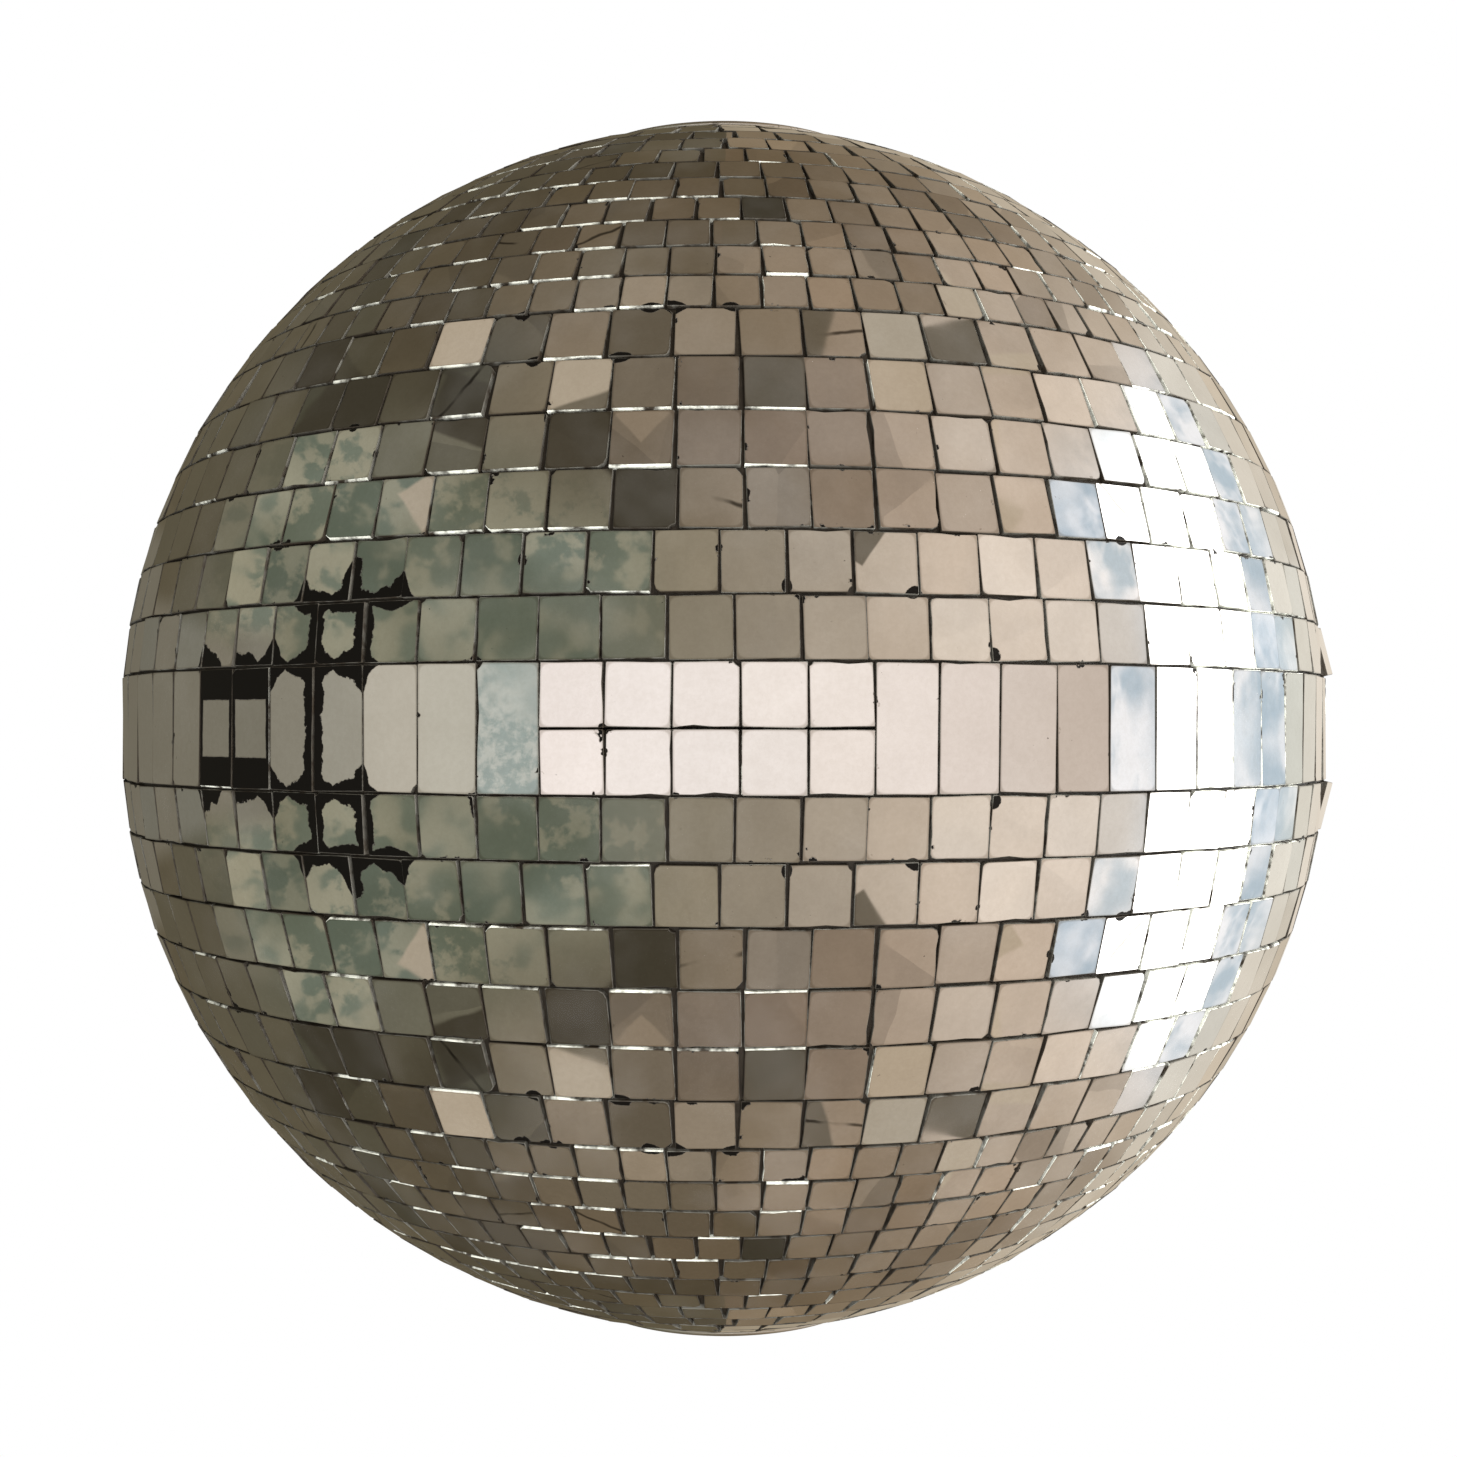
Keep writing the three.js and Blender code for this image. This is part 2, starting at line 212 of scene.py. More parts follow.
# Where the silvering has been eaten away: longitude, latitude and reach in degrees, the same above and
# below the equator, and how far it has gone in from the tiles' edges, as a share of EDGE_ZONE.
BARE_PATCHES = [
    (-24.6, 9.5, 1.9, 0.45), (-28.3, 9.6, 2.5, 0.45), (-31.8, 9.2, 2.1, 0.45), (-27.2, 11.6, 1.3, 0.4),
    (-31.7, 7.0, 2.1, 0.42), (-27.2, 7.0, 2.2, 0.42), (-27.6, 4.6, 2.2, 0.5), (-31.6, 4.6, 2.7, 0.5),
    (-35.8, 4.7, 1.9, 0.5), (-31.3, 2.1, 2.2, 0.45), (-31.3, 0.0, 2.1, 0.42), (-38.8, 5.0, 1.5, 0.45),
    (-43.6, 5.2, 1.7, 0.55), (-6.3, 32.2, 0.8, 0.3), (-4.2, 32.3, 0.9, 0.3), (0.6, 32.3, 0.7, 0.25),
    (-8.3, 27.7, 0.8, 0.25), (-15.7, 27.4, 0.7, 0.25), (-17.8, 31.7, 0.8, 0.25), (4.3, 9.8, 0.5, 0.25),
    (13.2, 9.4, 0.6, 0.25), (19.3, 5.2, 0.55, 0.3), (31.4, 13.9, 0.6, 0.25), (45.5, 25.4, 0.8, 0.3),
    (23.0, 37.4, 0.7, 0.25),
]
EDGE_ZONE = 9.5 * MM
SQUARENESS = 9  # the lines of equal depth in EDGE_ZONE round off more where this is less
SOUND_MARGIN = 0.075  # share of EDGE_ZONE by which sound silvering outreaches the tile's edge
VEIL = 0.03  # how much of the light the dustiest glass scatters
FRAME_SIDE, FRAME_END = 2.2 * MM, 10.8 * MM  # bare glass at the sides and ends of a framed tile
STROKE_UNIT = 10 * MM  # the unit of a stroke's offset and breadth


def on_ball(longitude, latitude, radius=BALL_RADIUS):
    """A point measured from the ball's centre. Longitude 0 faces -Y, and +90 faces +X."""
    east, north = math.radians(longitude), math.radians(latitude)
    level = Vector((math.sin(east), -math.cos(east), 0)) * math.cos(north)
    return radius * (level + Vector((0, 0, math.sin(north))))


def bare_patches(nodes, here):
    """How far the damp has eaten into the silvering, as a share of EDGE_ZONE."""
    from_centre = nodes.vector("SUBTRACT", here, tuple(BALL_CENTRE))
    folded = nodes.vector("ABSOLUTE", nodes.vector("MULTIPLY", from_centre, (0, 0, 1)))
    level = nodes.vector("MULTIPLY", from_centre, (1, 1, 0))
    place = nodes.vector("ADD", folded, level)
    most = 0.0
    for longitude, latitude, reach, depth in BARE_PATCHES:
        distance = nodes.vector("DISTANCE", place, tuple(on_ball(longitude, latitude)))
        size = math.radians(reach) * BALL_RADIUS
        most = nodes.math("MAXIMUM", most, nodes.ramp(distance, 0.35 * size, 1.25 * size, depth, 0))
    return most


def silvered_glass():
    """Old mirror: silvering eaten from its edges, a little haze, spots and scratches."""
    material, nodes, here = new_material("silvered_glass")
    tile = nodes.make("ShaderNodeUVMap", uv_map="tile").outputs["UV"]
    local = nodes.vector("MULTIPLY", nodes.vector("SUBTRACT", tile, (0.5, 0.5, 0)), (UV_SPAN, UV_SPAN, 0))
    tint = nodes.attribute("tint")
    half_size = nodes.attribute("half_size")

    # How near the tile's edge a point is: 1 on the edge, 0 at EDGE_ZONE inside it, with rounded corners.
    inset = nodes.split(nodes.vector("SUBTRACT", half_size, nodes.vector("ABSOLUTE", local)))
    near_side = nodes.even_ramp(inset[0], 0, EDGE_ZONE, 1, 0)
    near_end = nodes.even_ramp(inset[1], 0, EDGE_ZONE, 1, 0)
    powers = [nodes.math("POWER", near, SQUARENESS) for near in (near_side, near_end)]
    edge = nodes.math("POWER", nodes.plus(*powers), 1 / SQUARENESS)

    damp = bare_patches(nodes, here)
    sparse = nodes.ramp(nodes.noise(here, 120, 3, 0.6), 0.60, 0.72)
    loss = nodes.plus(damp, nodes.times(sparse, 0.22))
    ragged = nodes.minus(nodes.noise(here, 240, 4, 0.66), 0.5)
    raggedness = nodes.plus(nodes.times(loss, 1.5), 0.03)
    reach = nodes.minus(1 + SOUND_MARGIN, loss)
    reach = nodes.plus(reach, nodes.times(ragged, raggedness))
    inside = nodes.minus(reach, edge)
    framed = nodes.split(half_size)[2]
    for axis, depth in enumerate((FRAME_SIDE, FRAME_END)):
        within = nodes.minus(inset[axis], nodes.times(framed, depth))
        within = nodes.plus(nodes.math("DIVIDE", within, EDGE_ZONE), nodes.times(ragged, 0.1))
        inside = nodes.math("MINIMUM", inside, nodes.plus(within, SOUND_MARGIN))
    silver = nodes.ramp(inside, -0.004, 0.010)
    rim = nodes.times(nodes.ramp(edge, 0.94, 1.02), 0.4)
    eaten_rim = nodes.times(nodes.ramp(inside, 0.0, 0.05, 1, 0), 0.5)
    rim = nodes.math("MAXIMUM", rim, eaten_rim)

    stroke, pinholes = scratches_and_spots(nodes, here, local)
    clouds = nodes.noise(here, 70, 3, 0.55)
    colour = nodes.mix(clouds, srgb(239, 238, 236), srgb(227, 225, 222))
    veil = nodes.ramp(nodes.noise(here, 20, 3, 0.6), 0.38, 0.75)
    film = nodes.noise(here, 520, 4, 0.75)
    colour = nodes.mix(nodes.ramp(film, 0.3, 0.7, 0, 0.16), colour, srgb(196, 190, 180))
    colour = nodes.mix(1.0, colour, tint, "MULTIPLY")
    colour = nodes.mix(rim, colour, srgb(120, 106, 88))
    colour = nodes.mix(nodes.times(stroke, 0.85), colour, srgb(62, 54, 44))
    colour = nodes.mix(nodes.times(pinholes, 0.7), colour, srgb(70, 60, 48))
    colour = nodes.mix(silver, srgb(14, 12, 10), colour)
    metallic = nodes.times(silver, nodes.ramp(veil, 0, 1, 1, 1 - VEIL))

    haze = nodes.ramp(nodes.noise(here, 24, 2), 0.35, 0.75, 0.0, 0.05)
    roughness = nodes.plus(haze, nodes.times(pinholes, 0.2))
    roughness = nodes.mix(silver, (0.42, 0.42, 0.42, 1), roughness)
    wave = nodes.bump(nodes.noise(here, 60, 1), 0.012 * MM)
    nodes.surface(Base_Color=colour, Metallic=metallic, Roughness=roughness, IOR=1.2, Normal=wave)
    return material


def scratches_and_spots(nodes, here, local):
    """A dark wandering stroke across each marked tile, and pinholes in the silvering."""
    angle, offset, strength = nodes.split(nodes.attribute("mark"))
    across, up, _ = nodes.split(nodes.vector("DIVIDE", local, (STROKE_UNIT, STROKE_UNIT, 1)))
    line = nodes.times(across, nodes.math("COSINE", angle))
    line = nodes.plus(line, nodes.times(up, nodes.math("SINE", angle)))
    wander = nodes.times(nodes.minus(nodes.noise(here, 90, 2), 0.5), 0.35)
    line = nodes.math("ABSOLUTE", nodes.plus(nodes.minus(line, offset), wander))
    stroke = nodes.times(nodes.ramp(line, 0.015, 0.11, 1, 0), strength)
    stroke = nodes.times(stroke, nodes.ramp(nodes.noise(here, 60, 2), 0.38, 0.56))
    pinholes = nodes.ramp(nodes.noise(here, 640, 2, 0.7), 0.735, 0.77)
    pinholes = nodes.times(pinholes, nodes.ramp(nodes.noise(here, 38, 1), 0.5, 0.62))
    return stroke, pinholes


def ground_edge():
    """The cut sides of the glass: pale and frosty where clean, and pale as painted highlights where glare
    and glints fall, brown with adhesive elsewhere.
    """
    material, nodes, here = new_material("ground_glass_edge")
    bright = nodes.attribute("edge_light", "Fac")
    patchy = nodes.ramp(nodes.noise(here, 150, 3, 0.65), 0.34, 0.6)
    clean_and_glinting = nodes.times(bright, patchy)
    soiled = nodes.mix(nodes.noise(here, 160, 2), srgb(32, 28, 23), srgb(66, 58, 48))
    # Near white on clean edges, partly painted highlight: pale edges are put where the window's glare and
    # the glints fall.
    colour = nodes.mix(clean_and_glinting, soiled, srgb(238, 240, 228))
    roughness = nodes.ramp(clean_and_glinting, 0, 1, 0.65, 0.5)
    bump = nodes.bump(nodes.noise(here, 900, 3, 0.7), 0.06 * MM)
    nodes.surface(Base_Color=colour, Roughness=roughness, IOR=1.4, Normal=bump)
    return material


def adhesive():
    """Dark rubbery adhesive that stands in the joints, with dust on it."""
    material, nodes, here = new_material("tile_adhesive")
    dust = nodes.ramp(nodes.noise(here, 120, 4, 0.7), 0.5, 0.8)
    colour = nodes.mix(nodes.times(dust, 0.5), srgb(36, 31, 25), srgb(72, 64, 53))
    roughness = nodes.ramp(dust, 0, 1, 0.55, 0.9)
    bump = nodes.bump(nodes.noise(here, 700, 4, 0.7), 0.25 * MM)
    nodes.surface(Base_Color=colour, Roughness=roughness, Normal=bump)
    return material


def spun_metal():
    """Dulled aluminium with fine rings from spinning, wiped smears and dark scratches."""
    material, nodes, here = new_material("spun_cap_metal")
    radius = nodes.vector("LENGTH", nodes.vector("MULTIPLY", here, (1, 1, 0)))
    rings = nodes.make("ShaderNodeTexNoise", {"W": nodes.times(radius, 2600)}, noise_dimensions="1D")
    smears = nodes.noise(here, 34, 4, 0.6)
    scratches = nodes.noise(nodes.vector("MULTIPLY", here, (1, 9, 1)), 160)
    scratched = nodes.ramp(scratches, 0.66, 0.72)
    colour = nodes.mix(smears, srgb(178, 175, 167), srgb(222, 219, 211))
    colour = nodes.mix(nodes.times(scratched, 0.5), colour, srgb(84, 80, 72))
    roughness = nodes.ramp(smears, 0.3, 0.7, 0.24, 0.46)
    height = nodes.plus(rings.outputs["Fac"], nodes.times(scratched, -0.8))
    bump = nodes.bump(height, 0.02 * MM)
    nodes.surface(Base_Color=colour, Metallic=1.0, Roughness=roughness, Normal=bump)
    return material


def zinc_plate():
    """Zinc plate gone dull, with darker bloom in patches and bright worn spots."""
    material, nodes, here = new_material("zinc_plate")
    bloom = nodes.noise(here, 190, 4, 0.62)
    worn = nodes.ramp(nodes.noise(here, 420, 3, 0.7), 0.58, 0.68)
    colour = nodes.mix(bloom, srgb(132, 130, 120), srgb(186, 184, 172))
    colour = nodes.mix(nodes.times(worn, 0.6), colour, srgb(214, 212, 204))
    roughness = nodes.ramp(bloom, 0.3, 0.7, 0.46, 0.27)
    bump = nodes.bump(nodes.noise(here, 1500, 3, 0.6), 0.02 * MM)
    nodes.surface(Base_Color=colour, Metallic=1.0, Roughness=roughness, Normal=bump)
    return material


def turned_steel():
    """Bearing steel with turning marks about the spin axis and a film of oil."""
    material, nodes, here = new_material("turned_steel")
    streaks = nodes.noise(nodes.vector("MULTIPLY", here, (1, 1, 18)), 260, 3, 0.6)
    oil = nodes.noise(here, 45, 3, 0.5)
    colour = nodes.mix(oil, srgb(140, 138, 132), srgb(182, 181, 176))
    roughness = nodes.ramp(streaks, 0.3, 0.7, 0.22, 0.4)
    bump = nodes.bump(streaks, 0.02 * MM)
    nodes.surface(Base_Color=colour, Metallic=1.0, Roughness=roughness, Normal=bump)
    return material


PLY = 1.6 * MM  # thickness of one ply


def plywood():
    """Birch plywood: plies in bands of height, and grain along them."""
    material, nodes, here = new_material("hub_plywood")
    ply = nodes.math("PINGPONG", nodes.math("DIVIDE", nodes.split(here)[2], PLY), 1)
    grain = nodes.noise(nodes.vector("MULTIPLY", here, (14, 1, 1)), 60, 4, 0.6)
    colour = nodes.mix(grain, srgb(196, 160, 112), srgb(158, 120, 78))
    colour = nodes.mix(nodes.ramp(ply, 0.4, 0.6, 0, 0.45), colour, srgb(120, 86, 52))
    roughness = nodes.ramp(grain, 0.2, 0.8, 0.6, 0.8)
    nodes.surface(Base_Color=colour, Roughness=roughness, Normal=nodes.bump(grain, 0.1 * MM))
    return material


def core_resin():
    """Dark filled resin of the core, mottled, with a cast texture."""
    material, nodes, here = new_material("core_resin")
    mottle = nodes.noise(here, 85, 4, 0.6)
    colour = nodes.mix(mottle, srgb(36, 34, 31), srgb(62, 58, 52))
    bump = nodes.bump(nodes.noise(here, 420, 4, 0.65), 0.2 * MM)
    nodes.surface(Base_Color=colour, Roughness=nodes.ramp(mottle, 0.3, 0.7, 0.7, 0.9), Normal=bump)
    return material


SILVER = silvered_glass()
EDGE = ground_edge()
ADHESIVE = adhesive()
CAP_METAL = spun_metal()
ZINC = zinc_plate()
STEEL = turned_steel()
PLYWOOD = plywood()
RESIN = core_resin()


# ---- Making pieces ----

def finish_piece(mesh, name, materials, body, replaced=()):
    """Gives a piece its materials and its body, and hides the CAD nodes that it takes the place of."""
    mesh.name = name
    piece = add_object(name, mesh)
    for material in materials:
        mesh.materials.append(material)
    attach(piece, body)
    if replaced:
        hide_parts(*replaced)


# ---- Glass tiles ----

# How a hand-cut tile differs from a true one. Spreads are standard deviations.
TILT_SPREAD = 0.55  # degrees, about the level line and the upright line
TURN_SPREAD = 0.5  # degrees, in its own plane
CORNER_SPREAD = 0.13 * MM
CHIPPED_CORNERS = 0.07  # share of the corners
CHIP = (1.0 * MM, 2.6 * MM)  # length lost from a side at a chipped corner
CROP = (0.12 * MM, 0.4 * MM)  # the same at a sound corner
NICKED_SIDES = 0.035  # share of the points on the sides
NICK = (0.2 * MM, 0.7 * MM)  # depth
CUT_SPREAD = 0.035 * MM
SIDE_POINTS = (0.35, 0.68)  # shares of a side's length
CHAMFER_FALL = 0.8  # of a clean bevel, as a share of its width
CHAMFER_ZONE = 0.5 * MM  # a clean bevel moves the corners that are no higher than this
SHADE_SPREAD, WARMTH_SPREAD = 0.045, 0.018  # of the silvering's brightness and colour
BELT_EVENNESS = 0.3  # how much of those the belt has

# Which edges show clean, pale glass, by longitude and latitude in degrees. Pale edges here are painted
# highlights where glare and glints fall.
GLARE = (37, 56, 26)  # least and greatest longitude, and latitude, of the tiles whose edges all shine
FAVOURED = (-14, 19)  # middle and reach in longitude of the tiles that may have a bright lower edge
GLINTING = (47, 11)  # the same for more bright edges on the right, high up
GLINTING_LEVELS = (26, 62)

STRAY_STROKES = 0.02  # share of the tiles with a stroke somewhere
# Tiles with a dark stroke: longitude, latitude, and the angle of the stroke's normal, in degrees.
STROKES = [(-1.0, 16.1, 76), (-20.7, 25.3, 150), (9.8, 29.9, 100), (-11.5, 40.8, 125), (33.0, 16.1, 40)]

# Longitude of the joint nearest the front in the rows that count most for the look, from the belt up.
ROW_JOINTS = [0.7, -0.3, 1.5, 1.3, 1.3, 1.1, -0.9, -0.8, -1.3, 1.8]
SPACING_SPREAD = 0.012  # of the tiles along a row, as a share of a step
LEVEL_SPREAD = 0.03  # degrees
UNEVENNESS = 0.45 * MM  # how much deeper than its neighbours a tile can sit
BELT_UNEVENNESS = 0.3 * MM

LIFTED_TILE = (67.0, 1.5 * LARGE_PITCH)  # least longitude, and latitude, of a tile that has come loose
LIFTED_LEAN = (-8.0, -7.0)  # its lower edge and its far side stand proud
LIFT = 0.8 * MM

BELT_COLUMNS = 78
BELT_STEP = 360 / BELT_COLUMNS
PAIR_HALF_HEIGHT = 9.7 * MM
PAIR_SINK = 0.1 * MM
FRAMED_COLUMNS = (-6, -7)  # counted left from the first pair
POLAR_ROWS = 2  # small rows that are one piece, next to the cap

BELT_SEED = 11
ROW_SEED = 100  # of the first row. The next rows count up from it


class TileSheet:
    """Collects the tiles of one row into one mesh."""

    def __init__(self, name, mirrored=False):
        self.name = name
        self.flip = -1 if mirrored else 1
        self.corners, self.faces, self.slots = [], [], []
        self.uvs, self.tints, self.marks, self.lights, self.half_sizes = [], [], [], [], []

    def add(self, rng, longitude, latitude, half_width, half_height, sink, lean=(0.0, 0.0), framed=0.0):
        """One tile: lean is its extra tilt about its level and its upright line, in degrees.

        framed is 1 on a tile whose silvering is left in the middle only.
        """
        outline = tile_outline(rng, half_width, half_height)
        lights = clean_and_glinting_edges(rng, longitude, latitude)
        chamfer = CLEAN_CHAMFER * rng.uniform(0.5, 1) if lights[0] == 1 else 0
        reach = math.sqrt(BALL_RADIUS ** 2 - half_width ** 2 - half_height ** 2)
        out = on_ball(longitude, latitude, 1)
        east = Vector((math.cos(math.radians(longitude)), math.sin(math.radians(longitude)), 0))
        axes = Matrix((east, out.cross(east), out)).transposed()
        tilt_up = rng.gauss(0, TILT_SPREAD) + lean[0]
        tilt_side = rng.gauss(0, TILT_SPREAD) + lean[1]
        turn = rng.gauss(0, TURN_SPREAD)
        for angle, axis in ((turn, "Z"), (tilt_up, "X"), (tilt_side, "Y")):
            axes = axes @ Matrix.Rotation(math.radians(angle), 3, axis)
        middle = out * (reach - sink)
        first = len(self.corners)
        rings = [(GROUND_EDGE, 0.0), (0.0, -GROUND_EDGE), (0.0, -GLASS)]
        for ring, (inset, depth) in enumerate(rings):
            scale_u, scale_v = 1 - inset / half_width, 1 - inset / half_height
            for u, v in outline:
                level, height = v * scale_v, depth
                if ring == 0:
                    level = max(level, chamfer - half_height)
                elif ring == 1 and v < CHAMFER_ZONE - half_height:
                    height = min(height, -CHAMFER_FALL * chamfer)
                point = middle + axes @ Vector((u * scale_u, level, height))
                self.corners.append((point.x, point.y, point.z * self.flip + BALL_CENTRE.z))
        count = len(outline)
        faces = [list(range(first, first + count))]
        for ring in range(2):
            for i in range(count):
                j = (i + 1) % count
                upper, lower = first + ring * count, first + (ring + 1) * count
                faces.append([upper + i, lower + i, lower + j, upper + j])
        faces.append(list(range(first + 3 * count - 1, first + 2 * count - 1, -1)))
        evenness = BELT_EVENNESS if abs(latitude) < LARGE_PITCH else 1
        shade = 1 + evenness * rng.gauss(0, SHADE_SPREAD)
        warmth = evenness * rng.gauss(0, WARMTH_SPREAD)
        tint = (shade * (1 + warmth), shade, shade * (1 - warmth))
        mark = strokes_on(rng, longitude, latitude)
        for number, face in enumerate(faces):
            self.faces.append(face if self.flip > 0 else face[::-1])
            self.slots.append(0 if number == 0 else 1)
            self.tints.append(tint)
            self.marks.append(mark)
            side = (number - 1) % count * 4 // count
            self.lights.append(lights[side] if 0 < number <= 2 * count else 0.0)
            self.half_sizes.append((half_width, half_height, framed))
            if number == 0:
                ring_uvs = [(0.5 + u / UV_SPAN, 0.5 + v / UV_SPAN) for u, v in outline]
                self.uvs += ring_uvs if self.flip > 0 else ring_uvs[::-1]
            else:
                self.uvs += [(0.5, 0.5)] * len(face)

    def build(self, node):
        mesh = bpy.data.meshes.new(self.name)
        mesh.from_pydata(self.corners, [], self.faces)
        layer = mesh.uv_layers.new(name="tile")
        layer.data.foreach_set("uv", [value for uv in self.uvs for value in uv])
        for name, values in (("tint", self.tints), ("mark", self.marks), ("half_size", self.half_sizes)):
            attribute = mesh.attributes.new(name, "FLOAT_VECTOR", "FACE")
            attribute.data.foreach_set("vector", [value for vector in values for value in vector])
        attribute = mesh.attributes.new("edge_light", "FLOAT", "FACE")
        attribute.data.foreach_set("value", self.lights)
        mesh.polygons.foreach_set("material_index", self.slots)
        finish_piece(mesh, self.name, [SILVER, EDGE], "ball", [node])


def tile_outline(rng, half_width, half_height):
    """The hand-cut outline, anticlockwise from the lower left: each corner slightly off and cropped."""
    corners = []
    for side_u, side_v in ((-1, -1), (1, -1), (1, 1), (-1, 1)):
        slip = Vector((rng.gauss(0, CORNER_SPREAD), rng.gauss(0, CORNER_SPREAD)))
        corners.append(Vector((side_u * half_width, side_v * half_height)) + slip)
    outline = []
    for i, corner in enumerate(corners):
        before, after = corners[i - 1], corners[(i + 1) % 4]
        chipped = rng.random() < CHIPPED_CORNERS
        crop = rng.uniform(*(CHIP if chipped else CROP))
        come = corner + (before - corner).normalized() * crop
        leave = corner + (after - corner).normalized() * crop * rng.uniform(0.6, 1.4)
        middle = (come + leave) / 2 + (corner - (come + leave) / 2) * rng.uniform(-0.3, 0.5)
        outline += [come, middle, leave]
        side = after - corner
        inward = Vector((-side.y, side.x)).normalized()
        for share in SIDE_POINTS:
            nick = rng.uniform(*NICK) if rng.random() < NICKED_SIDES else rng.gauss(0, CUT_SPREAD)
            outline.append(corner + side * (share + rng.uniform(-0.06, 0.06)) + inward * nick)
    return [(point.x, point.y) for point in outline]


def hill(value, middle, reach):
    """1 in the middle, less away from it."""
    return math.exp(-((value - middle) / reach) ** 2)


def rise(value, low, high):
    """0 up to low, 1 from high on, and a straight rise between."""
    return min(1, max(0, (value - low) / (high - low)))


def clean_and_glinting_edges(rng, longitude, latitude):
    """How clean a tile's lower, right, upper and left edges are. The near-white clean edges are painted
    highlights, put where glare and glints fall.
    """
    draws = [rng.random() for _ in range(4)]
    # Painted glare: all edges of the tiles where the window's reflection falls are pale.
    if GLARE[0] < longitude < GLARE[1] and latitude < GLARE[2]:
        return [0.7 + 0.3 * draw for draw in draws]
    # Painted glints: pale lower and left edges, likelier where the bright dashes fall.
    favoured = hill(longitude, *FAVOURED) * rise(latitude, 9, 19) * rise(latitude, 62, 48)
    glinting = hill(longitude, *GLINTING) if GLINTING_LEVELS[0] < latitude < GLINTING_LEVELS[1] else 0
    lower = 1.0 if draws[0] < 0.02 + 0.52 * favoured + 0.25 * glinting else 0.0
    upright = 0.8 if draws[1] < 0.07 + 0.5 * glinting else 0.0
    faint = 0.16 * draws[2]
    return [max(lower, faint), faint, faint, max(upright, faint)]


def strokes_on(rng, longitude, latitude):
    """Angle, offset and strength of the dark stroke across a tile, if it has one."""
    for stroke_longitude, stroke_latitude, angle in STROKES:
        aside = (longitude - stroke_longitude) * math.cos(math.radians(latitude))
        if abs(aside) < LARGE_PITCH / 2 and abs(latitude - stroke_latitude) < SMALL_PITCH / 2:
            return (math.radians(angle), 0.0, 1.0)
    marked = 1.0 if rng.random() < STRAY_STROKES else 0.0
    return (rng.uniform(0, math.pi), rng.uniform(-0.4, 0.4), marked)


def fill_row(sheet, row, latitude, pitch, width):
    """Lays level tiles round the ball, as many as their upper edges have room for."""
    rng = random.Random(ROW_SEED + row)
    half_height = (math.radians(pitch) * BALL_RADIUS - TILE_GAP) / 2
    upper = math.radians(latitude + pitch / 2)
    room = 2 * math.pi * BALL_RADIUS * math.cos(upper)
    count = int(room / (width + SIDE_GAP))
    half_width = (room / count - SIDE_GAP) / 2
    step = 360 / count
    start = ROW_JOINTS[row] if row < len(ROW_JOINTS) else rng.uniform(0, step)
    start += step / 2
    for i in range(count):
        longitude = start + (i + rng.gauss(0, SPACING_SPREAD)) * step
        longitude = (longitude + 180) % 360 - 180
        lifted = 0 < longitude - LIFTED_TILE[0] < step and abs(latitude - LIFTED_TILE[1]) < 1
        lean = LIFTED_LEAN if lifted else (0.0, 0.0)
        sink = -LIFT if lifted else rng.uniform(0, UNEVENNESS)
        level = latitude + rng.gauss(0, LEVEL_SPREAD)
        sheet.add(rng, longitude, level, half_width, half_height, sink, lean)


def belt():
    """The double-height belt, with its front columns as pairs of square tiles."""
    rng = random.Random(BELT_SEED)
    sheet = TileSheet("equator_belt_glass")
    half_width = (math.radians(BELT_STEP) * BALL_RADIUS - SIDE_GAP) / 2
    half_height = math.radians(LARGE_PITCH) * BALL_RADIUS - TILE_GAP / 2
    for i in range(BELT_COLUMNS):
        longitude = FIRST_PAIR_EDGE + (i + 0.5) * BELT_STEP
        if i < PAIRED_COLUMNS:
            for side in (1, -1):
                sheet.add(rng, longitude, side * LARGE_PITCH / 2, half_width, PAIR_HALF_HEIGHT, PAIR_SINK)
        else:
            framed = 1.0 if i - BELT_COLUMNS in FRAMED_COLUMNS else 0.0
            sink = rng.uniform(0, BELT_UNEVENNESS)
            sheet.add(rng, longitude, 0, half_width, half_height, sink, framed=framed)
    sheet.build("equator_belt_tiles")


def half_rows(side):
    """The rows of one half. Both halves draw the same random numbers, so that they mirror each other."""
    sheets = {}
    lower_edge = LARGE_PITCH
    for row in range(LARGE_ROWS + SMALL_ROWS):
        if row < LARGE_ROWS:
            kind, number, pitch, width = "large", row + 1, LARGE_PITCH, LARGE_TILE
        else:
            kind, number, pitch, width = "small", row + 1 - LARGE_ROWS, SMALL_PITCH, SMALL_TILE
        glass, node = f"{side}_{kind}_row_{number:02d}_glass", f"{side}_{kind}_tile_row_{number:02d}"
        if row >= LARGE_ROWS + SMALL_ROWS - POLAR_ROWS:
            glass, node = f"{side}_polar_rows_glass", f"{side}_polar_tile_rows"
        sheet = sheets.setdefault(node, TileSheet(glass, mirrored=side == "lower"))
        fill_row(sheet, row, lower_edge + pitch / 2, pitch, width)
        lower_edge += pitch
    for node, sheet in sheets.items():
        sheet.build(node)


belt()
half_rows("upper")
half_rows("lower")


# ---- Turned pieces ----

NEAR_AXIS = 0.02 * MM  # radius of the hair's hole that keeps a solid piece's skin closed
SAME_PLACE = 0.001 * MM  # corners nearer than this become one
ON_AXIS = SAME_PLACE / 10
SMOOTH_ANGLE = 38  # degrees. Sharper folds stay crisp
WIRE_SEGMENTS = 24  # round the section of a bent wire


def full_turn(steps):
    """Angles in even steps round a circle."""
    return [2 * math.pi * i / steps for i in range(steps)]


def turned_mesh(name, outline, segments):
    """A closed outline of (radius, height), or a function of the angle that gives one, turned about Z."""
    columns = []
    for angle in full_turn(segments):
        across, along = math.cos(angle), math.sin(angle)
        points = outline(angle) if callable(outline) else outline
        columns.append([(radius * across, radius * along, height) for radius, height in points])
    return grid_mesh(name, columns)


